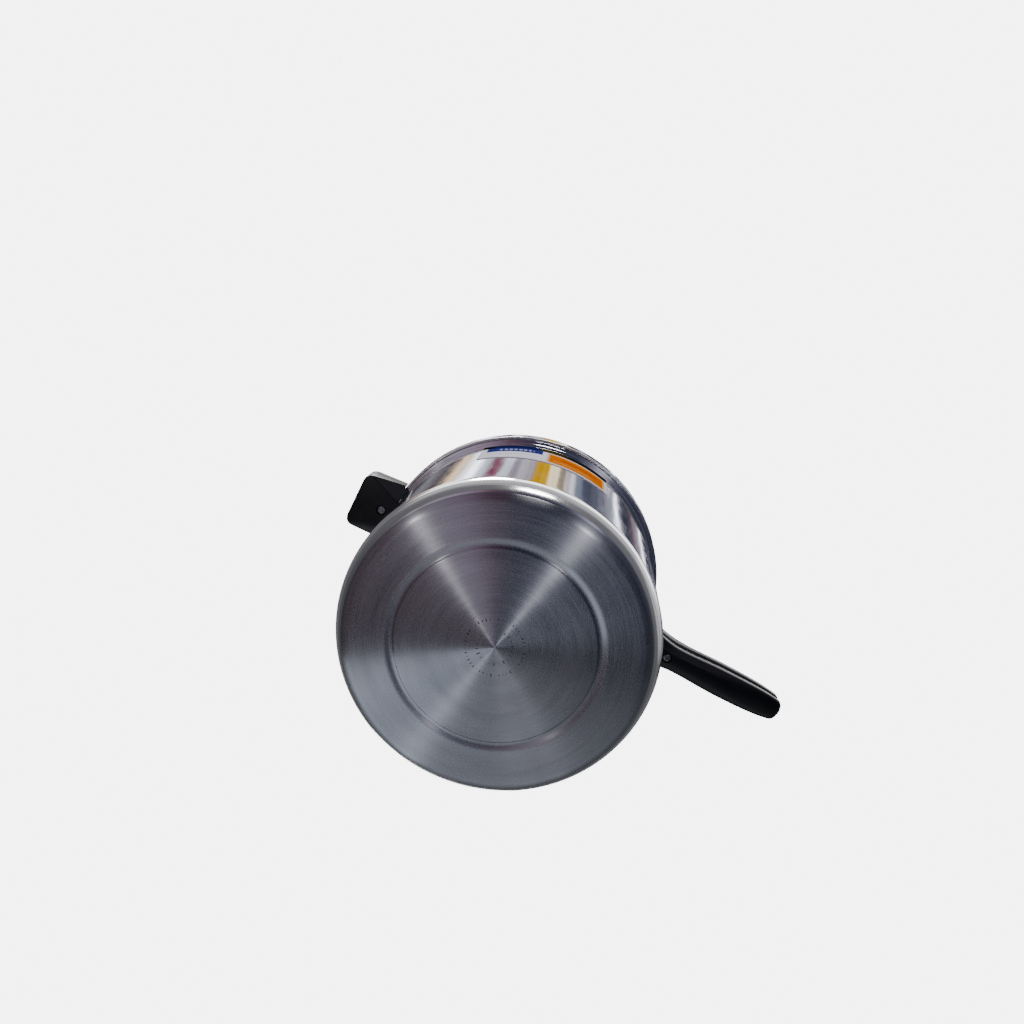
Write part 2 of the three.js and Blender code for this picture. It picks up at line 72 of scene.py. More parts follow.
def srgb(red: float, green: float, blue: float) -> Colour:
    """Turns a display colour, 0 to 255, into a linear one.

    Args:
        red: the red part.
        green: the green part.
        blue: the blue part.

    Returns:
        The linear colour, each part 0 to 1.
    """
    def part(value: float) -> float:
        """Turns one part into a linear one."""
        share = value / 255.0
        return share / 12.92 if share <= 0.04045 else ((share + 0.055) / 1.055) ** 2.4

    return part(red), part(green), part(blue)


def shown(red: float, green: float, blue: float, vivid: float = 1.25) -> Colour:
    """Turns a display colour, 0 to 255, into the scene light that the film-like view shows as that colour.

    Args:
        red: the red part.
        green: the green part.
        blue: the blue part.
        vivid: how far colour is pushed, since the view mutes it.

    Returns:
        The scene-linear colour.
    """
    parts = srgb(red, green, blue)
    grey = 0.2126 * parts[0] + 0.7152 * parts[1] + 0.0722 * parts[2]
    level = min(max(1.055 * grey ** (1 / 2.4) - 0.055, 0.01), 0.96)
    gain = 0.216 * (level / (1.0 - level)) ** 1.22 / grey
    return tuple(max(0.0, grey + (part - grey) * vivid) * gain for part in parts)


# ---------------------------------------------------------------- node graphs


class Graph:
    """A node tree that is written in short steps."""

    def __init__(self, tree: bpy.types.NodeTree) -> None:
        """Takes the tree and clears it.

        Args:
            tree: the tree to write.
        """
        self.tree = tree
        tree.nodes.clear()

    def node(self, kind: str, inputs: dict | None = None, **settings: object) -> Node:
        """Adds a node.

        Args:
            kind: the node's type name.
            inputs: values or sockets by input name or number.
            settings: properties of the node.

        Returns:
            The new node.
        """
        made = self.tree.nodes.new(kind)
        for key, value in settings.items():
            setattr(made, key, value)
        for key, value in (inputs or {}).items():
            self.feed(made.inputs[key], value)
        return made

    def feed(self, socket: Socket, value: object) -> None:
        """Links a socket, or sets its value.

        Args:
            socket: the input.
            value: an output socket or a plain value.
        """
        if isinstance(value, Socket):
            self.tree.links.new(value, socket)
        elif isinstance(value, tuple) and len(value) == 3 and socket.type == "RGBA":
            socket.default_value = (*value, 1.0)
        else:
            socket.default_value = value

    def math(self, operation: str, first: object, second: object = 0.0) -> Socket:
        """Adds one step of arithmetic and returns its output."""
        return self.node("ShaderNodeMath", {0: first, 1: second}, operation=operation).outputs[0]

    def plus(self, first: object, second: object) -> Socket:
        """Returns a sum."""
        return self.math("ADD", first, second)

    def minus(self, first: object, second: object) -> Socket:
        """Returns a difference."""
        return self.math("SUBTRACT", first, second)

    def times(self, first: object, second: object) -> Socket:
        """Returns a product."""
        return self.math("MULTIPLY", first, second)

    def vector(self, operation: str, first: object, second: object = (0.0, 0.0, 0.0)) -> Socket:
        """Adds one step of vector arithmetic and returns its vector."""
        return self.node("ShaderNodeVectorMath", {0: first, 1: second}, operation=operation).outputs[0]

    def scaled(self, source: object, x: float, y: float, z: float) -> Socket:
        """Returns a vector with each part multiplied."""
        return self.vector("MULTIPLY", source, (x, y, z))

    def split(self, source: object) -> tuple[Socket, ...]:
        """Returns the X, Y and Z of a vector."""
        return tuple(self.node("ShaderNodeSeparateXYZ", {0: source}).outputs)

    def join(self, x: object, y: object, z: object) -> Socket:
        """Returns a vector made from three numbers."""
        return self.node("ShaderNodeCombineXYZ", {0: x, 1: y, 2: z}).outputs[0]

    def noise(self, at: object, scale: float, detail: float = 2.0, roughness: float = 0.5) -> Socket:
        """Returns smooth noise, 0 to 1, at a place."""
        inputs = {"Vector": at, "Scale": scale, "Detail": detail, "Roughness": roughness}
        return self.node("ShaderNodeTexNoise", inputs).outputs[0]

    def ease(self, value: object, low: object, high: object) -> Socket:
        """Returns 0 below low and 1 above high, with a smooth change between."""
        inputs = {"Value": value, "From Min": low, "From Max": high}
        return self.node("ShaderNodeMapRange", inputs, interpolation_type="SMOOTHSTEP").outputs[0]

    def spread(self, value: object, low: float, high: float, out_low: float, out_high: float) -> Socket:
        """Returns a value moved from one range to another."""
        inputs = {"Value": value, "From Min": low, "From Max": high, "To Min": out_low, "To Max": out_high}
        return self.node("ShaderNodeMapRange", inputs).outputs[0]

    def blend(self, share: object, first: object, second: object) -> Socket:
        """Returns a colour between two colours."""
        made = self.node("ShaderNodeMix", {0: share}, data_type="RGBA")
        self.feed(made.inputs[6], first)
        self.feed(made.inputs[7], second)
        return made.outputs[2]

    def ramp(self, value: object, stops: Sequence[tuple[float, Colour]]) -> Socket:
        """Returns a colour from a list of stops.

        Args:
            value: where on the ramp, 0 to 1.
            stops: pairs of place and linear colour.

        Returns:
            The colour output.
        """
        made = self.node("ShaderNodeValToRGB", {0: value})
        elements = made.color_ramp.elements
        while len(elements) < len(stops):
            elements.new(1.0)
        for element, (place, colour) in zip(elements, sorted(stops, key=lambda stop: stop[0])):
            element.position = place
            element.color = (*colour, 1.0)
        return made.outputs[0]


# ------------------------------------------------------------------- finishes


class Skin(Graph):
    """The nodes of a material, with its shader."""

    def __init__(self, name: str) -> None:
        """Starts a material.

        Args:
            name: the material's name.
        """
        self.material = bpy.data.materials.new(name)
        self.material.use_nodes = True
        super().__init__(self.material.node_tree)
        self.shader = self.node("ShaderNodeBsdfPrincipled")
        self.node("ShaderNodeOutputMaterial", {"Surface": self.shader.outputs[0]})

    def place(self) -> Socket:
        """Returns the place on the piece."""
        return self.node("ShaderNodeTexCoord").outputs["Object"]

    def set(self, name: str, value: object) -> None:
        """Feeds one of the shader's inputs."""
        self.feed(self.shader.inputs[name], value)

    def relief(self, height: object, depth: float, normal: Socket | None = None) -> None:
        """Adds a bump.

        Args:
            height: the height, 0 to 1.
            depth: the depth in metres that 1 stands for.
            normal: the normal it changes, if not the surface's own.
        """
        bump = self.node("ShaderNodeBump", {"Height": height, "Distance": depth, "Strength": 1.0})
        if normal is not None:
            self.feed(bump.inputs["Normal"], normal)
        self.set("Normal", bump.outputs[0])


@dataclass(frozen=True)
class Finish:
    """A finish: the name of its material and how it is built."""

    name: str

    def make(self) -> bpy.types.Material:
        """Returns the material, built once."""
        found = bpy.data.materials.get(self.name)
        if found is not None:
            return found
        skin = Skin(self.name)
        self.dress(skin)
        return skin.material

    def dress(self, skin: Skin) -> None:
        """Writes the finish onto a skin."""
        raise NotImplementedError


@dataclass(frozen=True)
class SpunMetal(Finish):
    """Metal with fine rings round the Z axis, left by spinning or by a lathe."""

    colour: Colour
    tint: Colour
    roughness: float = 0.3
    anisotropy: float = 0.8
    ring_scale: float = 900.0
    ring_depth: float = 0.000009
    wear: float = 0.3
    dome: float = 0.0

    def dress(self, skin: Skin) -> None:
        """Writes rings and handling marks onto a skin.

        Args:
            skin: the material's nodes.
        """
        place = skin.place()
        x, y, z = skin.split(place)
        flat = skin.join(x, y, 0.0)
        outward = skin.vector("NORMALIZE", flat)
        radius = skin.node("ShaderNodeVectorMath", {0: flat}, operation="LENGTH").outputs["Value"]
        side = skin.split(outward)
        polar = skin.join(skin.plus(radius, z), side[0], side[1])
        fine = skin.noise(skin.scaled(polar, self.ring_scale, 1.6, 1.6), 1.0, 5.0, 0.8)
        broad = skin.noise(skin.scaled(polar, self.ring_scale * 0.12, 1.0, 1.0), 1.0, 2.0)
        patches = skin.noise(place, 26.0, 4.0, 0.6)
        scratch = skin.ease(skin.noise(skin.scaled(polar, 700.0, 9.0, 9.0), 1.0, 4.0, 0.75), 0.72, 0.78)
        tone = skin.plus(skin.times(fine, 0.6), skin.times(broad, 0.4))
        shade = skin.blend(skin.spread(tone, 0.3, 0.7, 0.0, 1.0), self.tint, self.colour)
        worn = skin.times(scratch, self.wear * 0.35)
        skin.set("Base Color", skin.blend(worn, shade, (0.86, 0.86, 0.88)))
        rough = skin.plus(skin.spread(fine, 0.25, 0.75, -0.045, 0.045), self.roughness)
        rough = skin.plus(rough, skin.spread(patches, 0.3, 0.7, -0.03, 0.03))
        skin.set("Roughness", skin.math("MAXIMUM", rough, 0.03))
        skin.set("Metallic", 1.0)
        skin.set("Anisotropic", self.anisotropy)
        radial = skin.node(
            "ShaderNodeVectorTransform", {0: outward},
            vector_type="VECTOR", convert_from="OBJECT", convert_to="WORLD",
        )
        skin.set("Tangent", radial.outputs[0])
        height = skin.plus(fine, skin.times(scratch, -self.wear))
        tilt = skin.scaled(radial.outputs[0], self.dome, self.dome, self.dome)
        normal = skin.vector("ADD", skin.node("ShaderNodeNewGeometry").outputs["Normal"], tilt)
        skin.relief(height, self.ring_depth, skin.vector("NORMALIZE", normal))


@dataclass(frozen=True)
class MirrorMetal(Finish):
    """Buffed metal that reflects clearly, with a slight ripple and fine hairlines."""

    colour: Colour
    roughness: float = 0.07
    ripple: float = 0.00006

    def dress(self, skin: Skin) -> None:
        """Writes the ripple and the hairlines onto a skin.

        Args:
            skin: the material's nodes.
        """
        place = skin.place()
        z = skin.split(place)[2]
        long_marks = skin.noise(skin.scaled(place, 900.0, 900.0, 26.0), 1.0, 3.0, 0.7)
        rings = skin.noise(skin.scaled(place, 9.0, 9.0, 900.0), 1.0, 2.0, 0.6)
        wave = skin.noise(skin.scaled(place, 1.0, 1.0, 0.3), 60.0, 2.0)
        smear = skin.noise(place, 34.0, 5.0, 0.65)
        hair = skin.ease(long_marks, 0.62, 0.72)
        rough = skin.plus(skin.spread(smear, 0.35, 0.7, -0.02, 0.05), self.roughness)
        rough = skin.plus(rough, skin.times(hair, 0.1))
        rough = skin.plus(rough, skin.times(skin.ease(z, 0.022, 0.002), 0.08))
        skin.set("Roughness", skin.math("MAXIMUM", rough, 0.02))
        dim = tuple(part * 0.86 for part in self.colour)
        skin.set("Base Color", skin.blend(skin.times(hair, 0.7), self.colour, dim))
        skin.set("Metallic", 1.0)
        skin.relief(skin.plus(wave, skin.times(rings, 0.012)), self.ripple)


@dataclass(frozen=True)
class Moulded(Finish):
    """Glossy moulded plastic with a faint orange peel and rubbed marks."""

    colour: Colour
    roughness: float = 0.26
    peel: float = 0.0000025

    def dress(self, skin: Skin) -> None:
        """Writes the moulded skin onto a skin.

        Args:
            skin: the material's nodes.
        """
        place = skin.place()
        peel = skin.noise(place, 900.0, 2.0)
        rub = skin.noise(skin.scaled(place, 0.35, 1.0, 1.0), 90.0, 5.0, 0.7)
        fleck = skin.noise(place, 2600.0, 1.0)
        rubbed = skin.ease(rub, 0.52, 0.7)
        pale = tuple(part * 1.3 + 0.0015 for part in self.colour)
        tone = skin.blend(rubbed, self.colour, pale)
        speck = skin.times(skin.ease(fleck, 0.72, 0.8), 0.08)
        skin.set("Base Color", skin.blend(speck, tone, (0.09, 0.09, 0.1)))
        rough = skin.plus(skin.spread(rub, 0.3, 0.75, -0.02, 0.05), self.roughness)
        skin.set("Roughness", rough)
        skin.set("Specular IOR Level", 0.38)
        skin.set("Coat Weight", 0.15)
        skin.set("Coat Roughness", 0.12)
        height = skin.plus(peel, skin.times(rub, 0.3))
        skin.relief(height, self.peel)


@dataclass(frozen=True)
class CastMetal(Finish):
    """Small metal parts: turned, plated or cast, with tarnish in patches."""

    colour: Colour
    tarnish: Colour
    roughness: float = 0.3
    grain: float = 500.0
    depth: float = 0.00002

    def dress(self, skin: Skin) -> None:
        """Writes grain and tarnish onto a skin.

        Args:
            skin: the material's nodes.
        """
        place = skin.place()
        grain = skin.noise(place, self.grain, 4.0, 0.7)
        lines = skin.noise(skin.scaled(place, 0.15, 0.15, 6.0), self.grain, 2.0)
        patch = skin.noise(place, 130.0, 4.0, 0.6)
        share = skin.ease(patch, 0.5, 0.72)
        skin.set("Base Color", skin.blend(share, self.colour, self.tarnish))
        rough = skin.plus(skin.spread(patch, 0.3, 0.7, -0.06, 0.12), self.roughness)
        skin.set("Roughness", rough)
        skin.set("Metallic", 1.0)
        skin.relief(skin.plus(grain, lines), self.depth)


@dataclass(frozen=True)
class Matt(Finish):
    """Rubber and pressed fibre: no shine, with a fine grain and dusty patches."""

    colour: Colour
    dust: Colour
    roughness: float = 0.75
    grain: float = 1400.0

    def dress(self, skin: Skin) -> None:
        """Writes grain and dust onto a skin.

        Args:
            skin: the material's nodes.
        """
        place = skin.place()
        grain = skin.noise(place, self.grain, 4.0, 0.7)
        patch = skin.noise(place, 60.0, 4.0, 0.6)
        share = skin.times(skin.ease(patch, 0.45, 0.75), 0.5)
        skin.set("Base Color", skin.blend(share, self.colour, self.dust))
        rough = skin.plus(skin.spread(grain, 0.3, 0.7, -0.08, 0.08), self.roughness)
        skin.set("Roughness", rough)
        skin.relief(grain, 0.00004)


@dataclass(frozen=True)
class Patch:
    """A field of the strip: limits in degrees and metres, colours, and its dashes if it is broken up."""

    turns: Point
    heights: Point
    colour: Colour
    worn: Colour | None = None
    wear: Point = (0.4, 0.62)
    dashes: Point | None = None
    strength: float = 1.0


@dataclass(frozen=True)
class PrintedStripAndShade(Finish):
    """The strip on the wall: printed blue over white on one side and orange on the other, under a dark band
    of painted shade along its top.
    """

    start: float = -129.0
    end: float = -76.5
    bottom: float = 0.098
    top: float = 0.1538
    # From head_from up to top the strip carries a band of painted shade.
    head_from: float = 0.1412
    paper: tuple[Colour, Colour] = ((0.93, 0.91, 0.98), (0.80, 0.79, 0.88))
    rubbed: Colour = (0.45, 0.45, 0.50)
    patches: tuple[Patch, ...] = (
        Patch((-126.0, -105.5), (0.1125, 0.1155), (0.30, 0.27, 0.42), dashes=(1.1, 0.5), strength=0.55),
        Patch((-102.5, -77.7), (0.1005, 0.1395), (0.86, 0.46, 0.17)),
        Patch((-101.6, -78.7), (0.1040, 0.1362), (0.78, 0.205, 0.0), (0.60, 0.11, 0.0)),
        Patch((-97.0, -81.5), (0.1235, 0.1262), (0.34, 0.035, 0.004)),
        Patch((-100.0, -84.0), (0.1108, 0.1128), (0.95, 0.42, 0.10)),
        Patch((-126.6, -104.6), (0.1248, 0.1450), (0.020, 0.028, 0.17), (0.035, 0.046, 0.25), (0.4, 0.65)),
        Patch((-122.0, -108.0), (0.1310, 0.1365), (0.50, 0.54, 0.80), dashes=(1.9, 0.62), strength=0.8),
    )
    # Painted shade: the dark band along the strip's top is a painted shadow line, tinted navy and olive as a
    # painted reflection, coloured along the strip.
    head: Bands = (
        (0.0, (0.004, 0.004, 0.005)), (0.06, (0.006, 0.007, 0.012)), (0.10, (0.009, 0.012, 0.07)),
        (0.42, (0.010, 0.014, 0.08)), (0.455, (0.060, 0.045, 0.006)), (0.60, (0.045, 0.033, 0.008)),
        (0.68, (0.012, 0.014, 0.013)), (1.0, (0.007, 0.009, 0.010)),
    )

    @staticmethod
    def inside(skin: Skin, value: Socket, limits: Point, soft: float) -> Socket:
        """Returns 1 between two limits and 0 outside."""
        rise, fall = (skin.ease(value, limit - soft, limit + soft) for limit in limits)
        return skin.times(rise, skin.minus(1.0, fall))

    def dress(self, skin: Skin) -> None:
        """Writes the printed colour fields and the top band of painted shade onto a skin.

        Args:
            skin: the material's nodes.
        """
        place = skin.place()
        x, y, z = skin.split(place)
        turn = skin.math("DEGREES", skin.math("ARCTAN2", y, x))
        rub = skin.noise(place, 700.0, 4.0, 0.75)
        height = skin.plus(z, skin.spread(rub, 0.0, 1.0, -0.0004, 0.0004))
        uneven = skin.noise(skin.join(skin.times(turn, 1.3), 0.0, 0.0), 1.0, 1.0)
        colour = skin.blend(skin.spread(rub, 0.3, 0.7, 0.0, 1.0), *self.paper)
        for patch in self.patches:
            across = self.inside(skin, turn, patch.turns, 0.25)
            mask = skin.times(across, self.inside(skin, height, patch.heights, 0.0005))
            if patch.dashes is not None:
                pitch, share = patch.dashes
                step = skin.math("FRACT", skin.math("DIVIDE", turn, pitch))
                mask = skin.times(mask, skin.math("LESS_THAN", step, skin.times(uneven, share * 2.0)))
            tone = patch.colour if patch.worn is None else skin.blend(
                skin.ease(rub, *patch.wear), patch.colour, patch.worn)
            colour = skin.blend(skin.times(mask, patch.strength), colour, tone)
        # Lays the band of painted shade over the strip's top, from head_from upward.
        head = skin.ramp(skin.spread(turn, self.start, self.end, 0.0, 1.0), self.head)
        colour = skin.blend(self.inside(skin, height, (self.head_from, 0.2), 0.0006), colour, head)
        faded = skin.times(skin.ease(rub, 0.68, 0.78), 0.25)
        skin.set("Base Color", skin.blend(faded, colour, self.rubbed))
        skin.set("Roughness", skin.spread(rub, 0.2, 0.8, 0.42, 0.60))
        skin.set("Specular IOR Level", 0.0)
        skin.relief(rub, 0.00002)


BRUSHED_BASE = SpunMetal("brushed_base", (0.56, 0.555, 0.58), (0.36, 0.36, 0.385), 0.27, 0.97, dome=0.09)
BRUSHED_INSIDE = SpunMetal("brushed_inside", (0.72, 0.72, 0.73), (0.58, 0.58, 0.60), 0.30, 0.7)
BUFFED_WALL = MirrorMetal("buffed_wall", (0.90, 0.90, 0.92))
LID_TOP = SpunMetal("lid_top", (0.80, 0.80, 0.82), (0.70, 0.70, 0.72), 0.20, 0.6, 900.0, 0.000004)
BLACK_PHENOLIC = Moulded("black_phenolic_skin", (0.0055, 0.0055, 0.0065))
BRIGHT_STEEL = CastMetal("bright_steel", (0.78, 0.79, 0.80), (0.52, 0.52, 0.52), 0.24)
# Painted shade: the screws' steel is darkened to stand for the shade in the screw pockets.
SHADE_DARKENED_SCREW_STEEL = CastMetal("screw_steel_painted_shade", (0.34, 0.34, 0.35), (0.20, 0.20, 0.20), 0.26)
BRACKET_STEEL = CastMetal("bracket_plate", (0.66, 0.67, 0.68), (0.42, 0.41, 0.40), 0.34, 300.0)
SOFT_ALUMINIUM = CastMetal("rivet_metal", (0.80, 0.80, 0.82), (0.60, 0.60, 0.62), 0.32)
TURNED_STEEL = SpunMetal("turned_weight", (0.74, 0.74, 0.75), (0.58, 0.58, 0.60), 0.22, 0.5, 2400.0, 0.000006)
BRASS = CastMetal("turned_brass", (0.78, 0.58, 0.26), (0.42, 0.27, 0.12), 0.26)
GREY_ALLOY = CastMetal("fusible_metal", (0.42, 0.43, 0.44), (0.26, 0.26, 0.27), 0.5, 900.0, 0.00005)
RUBBER = Matt("ring_rubber", (0.018, 0.018, 0.02), (0.06, 0.058, 0.055))
FIBRE = Matt("pressed_fibre", (0.20, 0.075, 0.045), (0.30, 0.17, 0.12), 0.8, 900.0)
# The strip's print, with painted shade along its top.
STRIP = PrintedStripAndShade("printed_strip_and_painted_shade")
ETCHED = Matt("etched_mark", (0.022, 0.022, 0.026), (0.09, 0.09, 0.1), 0.45, 2000.0)


# --------------------------------------------------------------- mesh helpers


def arc(centre: Point, out: float, up: float, start: float, end: float, steps: int) -> list[Point]:
    """Returns points on an elliptical arc.

    Args:
        centre: its centre, as radius and height.
        out: its reach along the radius.
        up: its reach along the height.
        start: the first angle in degrees.
        end: the last angle in degrees.
        steps: how many parts it is cut into.

    Returns:
        The points, as radius and height.
    """
    turns = [math.radians(start + (end - start) * i / steps) for i in range(steps + 1)]
    return [(centre[0] + out * math.cos(t), centre[1] + up * math.sin(t)) for t in turns]


def eased(corners: Sequence[tuple[float, float, float]], closed: bool, steps: int = 4) -> list[Point]:
    """Rounds the corners of an outline.

    Args:
        corners: each corner as radius, height and size of its rounding.
        closed: whether the last corner joins the first.
        steps: how many parts each rounding is cut into.

    Returns:
        The outline's points.
    """
    points: list[Point] = []
    count = len(corners)
    for i, (r, z, size) in enumerate(corners):
        ends = not closed and i in (0, count - 1)
        if ends or size <= 0.0:
            points.append((r, z))
            continue
        here = Vector((r, z))
        back = Vector(corners[i - 1][:2]) - here
        ahead = Vector(corners[(i + 1) % count][:2]) - here
        reach = min(size, back.length * 0.49, ahead.length * 0.49)
        first = here + back.normalized() * reach
        last = here + ahead.normalized() * reach
        for k in range(steps + 1):
            t = k / steps
            spot = first * (1 - t) ** 2 + here * 2 * t * (1 - t) + last * t ** 2
            points.append((spot.x, spot.y))
    return points


def even(count: int) -> list[float]:
    """Returns angles in degrees evenly round a full turn."""
    return [i * 360 / count for i in range(count)]


def lug_edges(lugs: int, width: float) -> list[float]:
    """Returns the angles in degrees at which evenly spaced lugs start and end."""
    return [k * 360.0 / lugs + side * (width / 2 + extra)
            for k in range(lugs) for side in (-1, 1) for extra in (0.0, 0.35)]


def on_lug(angle: float, lugs: int, width: float) -> bool:
    """Tells whether an angle in degrees lies on one of the lugs."""
    pitch = 360.0 / lugs
    return abs((angle + pitch / 2) % pitch - pitch / 2) <= width / 2 + 1e-3


def turns_with(extra: Sequence[float], step: float = 2.0) -> list[float]:
    """Returns angles in degrees round a full turn, with some more where edges need them."""
    plain = {round(i * step, 4) for i in range(round(360 / step))}
    return sorted(plain | {round(angle % 360.0, 4) for angle in extra})


def smooth(mesh: bpy.types.Mesh, angle: float = 32.0) -> None:
    """Shades a mesh smooth, with sharp edges past an angle in degrees."""
    mesh.shade_smooth()
    mesh.set_sharp_from_angle(angle=math.radians(angle))


def added(name: str, data: bpy.types.ID) -> Piece:
    """Adds an object to the scene."""
    made = bpy.data.objects.new(name, data)
    bpy.context.scene.collection.objects.link(made)
    return made


def piece_from(mesh: Mesh, name: str, finishes: Sequence[Finish], angle: float = 32.0) -> Piece:
    """Makes an object from a finished bmesh.

    Args:
        mesh: the shape, in metres.
        name: the piece's name.
        finishes: its finishes, in the order of its faces' numbers.
        angle: the angle past which edges are sharp.

    Returns:
        The new object.
    """
    data = bpy.data.meshes.new(name)
    mesh.normal_update()
    mesh.to_mesh(data)
    mesh.free()
    for finish in finishes:
        data.materials.append(finish.make())
    smooth(data, angle)
    return added(name, data)


def lathe(
    profile: Sequence[Point],
    closed: bool,
    angles: Sequence[float],
    radius_at: Callable[[float, float, float], float] | None = None,
) -> Mesh:
    """Turns a profile round the Z axis.

    Args:
        profile: points as radius and height in millimetres, anticlockwise.
        closed: whether it is a ring; if not, it starts and ends on the axis.
        angles: the angles in degrees at which the profile stands.
        radius_at: changes a radius from (angle, radius, height).

    Returns:
        A closed mesh in metres.
    """
    made = bmesh.new()
    columns: list[list[bmesh.types.BMVert]] = []
    poles: dict[int, bmesh.types.BMVert] = {}
    for i, (r, z) in enumerate(profile):
        if r <= 1e-6:
            poles[i] = made.verts.new((0.0, 0.0, z * MM))
    for angle in angles:
        turn = math.radians(angle)
        column = []
        for i, (r, z) in enumerate(profile):
            if i in poles:
                column.append(poles[i])
                continue
            reach = (radius_at(angle, r, z) if radius_at else r) * MM
            column.append(made.verts.new((reach * math.cos(turn), reach * math.sin(turn), z * MM)))
        columns.append(column)
    steps = len(profile) if closed else len(profile) - 1
    for k, column in enumerate(columns):
        after = columns[(k + 1) % len(columns)]
        for i in range(steps):
            j = (i + 1) % len(profile)
            ring = []
            for vert in (column[i], after[i], after[j], column[j]):
                if vert not in ring:
                    ring.append(vert)
            if len(ring) > 2:
                made.faces.new(ring)
    bmesh.ops.recalc_face_normals(made, faces=made.faces)
    return made


def baked(piece: Piece) -> Piece:
    """Turns a piece and its live modifiers into a plain mesh."""
    graph = bpy.context.evaluated_depsgraph_get()
    data = bpy.data.meshes.new_from_object(piece.evaluated_get(graph))
    piece.modifiers.clear()
    piece.data = data
    return piece


def carve(piece: Piece, cutters: Sequence[Piece]) -> None:
    """Cuts shapes out of a piece and deletes them.

    Args:
        piece: what is cut.
        cutters: the shapes to take away.
    """
    for cutter in cutters:
        step = piece.modifiers.new("cut", "BOOLEAN")
        step.operation = "DIFFERENCE"
        step.solver = "EXACT"
        step.object = cutter
    baked(piece)
    for cutter in cutters:
        bpy.data.objects.remove(cutter, do_unlink=True)


def settle(piece: Piece, body: Body, nodes: Sequence[str] = ()) -> Piece:
    """Hands a piece to the frame.

    Args:
        piece: the finished piece.
        body: the body it rides on.
        nodes: the CAD nodes it stands for.

    Returns:
        The same piece.
    """
    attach(piece, body.value)
    if nodes:
        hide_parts(*nodes)
    LOG.info("%s rides on %s, %d faces", piece.name, body.value, len(piece.data.polygons))
    return piece


def dress_node(node: str, finish: Finish) -> None:
    """Gives a CAD node its finish."""
    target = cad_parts[node]
    material = finish.make()
    target.data.materials.clear()
    target.data.materials.append(material)
    for face in target.data.polygons:
        face.material_index = 0
    LOG.info("%s dressed in %s", node, finish.name)


# ------------------------------------------------------------- geometry nodes


class Recipe:
    """A geometry node tree with named inputs, run once on a carrier and turned into a plain mesh."""

    def __init__(self, name: str) -> None:
        """Starts the tree.

        Args:
            name: the tree's name.
        """
        self.tree = bpy.data.node_groups.new(name, "GeometryNodeTree")
        self.graph = Graph(self.tree)
        self.tree.interface.new_socket("Geometry", in_out="INPUT", socket_type="NodeSocketGeometry")
        self.tree.interface.new_socket("Geometry", in_out="OUTPUT", socket_type="NodeSocketGeometry")
        self.values: dict[str, object] = {}

    def given(self, **values: object) -> Node:
        """Names the tree's inputs with their values.

        Args:
            values: the value of each input by name.

        Returns:
            The Group Input node.
        """
        kinds = {float: "NodeSocketFloat", int: "NodeSocketInt", Piece: "NodeSocketObject"}
        for name, value in values.items():
            self.tree.interface.new_socket(name, in_out="INPUT", socket_type=kinds[type(value)])
            self.values[name] = value
        return self.graph.node("NodeGroupInput")

    def node(self, kind: str, inputs: dict | None = None, **settings: object) -> Node:
        """Adds a node to the tree."""
        return self.graph.node(kind, inputs, **settings)

    def close(self, geometry: Socket, finish: Finish) -> None:
        """Ends the tree in Realize Instances and Set Material.

        Args:
            geometry: what the tree makes.
            finish: its finish.
        """
        real = self.node("GeometryNodeRealizeInstances", {0: geometry})
        inputs = {"Geometry": real.outputs[0], "Material": finish.make()}
        self.node("NodeGroupOutput", {0: self.node("GeometryNodeSetMaterial", inputs).outputs[0]})

    def run(
        self, name: str, seats: Sequence[Point3] = ((0.0, 0.0, 0.0),), turns: Sequence[Point3] = (),
    ) -> Piece:
        """Runs the tree on points.

        Args:
            name: the piece's name.
            seats: where the repeated shape stands, in millimetres.
            turns: how each one is turned, in degrees.

        Returns:
            The piece as a plain mesh.
        """
        data = bpy.data.meshes.new(name)
        data.from_pydata([tuple(v * MM for v in place) for place in seats], [], [])
        if turns:
            turned = data.attributes.new("turn", "FLOAT_VECTOR", "POINT")
            for i, angles in enumerate(turns):
                turned.data[i].vector = tuple(math.radians(v) for v in angles)
        piece = added(name, data)
        step = piece.modifiers.new("recipe", "NODES")
        step.node_group = self.tree
        for item in self.tree.interface.items_tree:
            if item.in_out == "INPUT" and item.name in self.values:
                step[item.identifier] = self.values[item.name]
        bpy.context.view_layer.update()
        baked(piece)
        smooth(piece.data)
        return piece


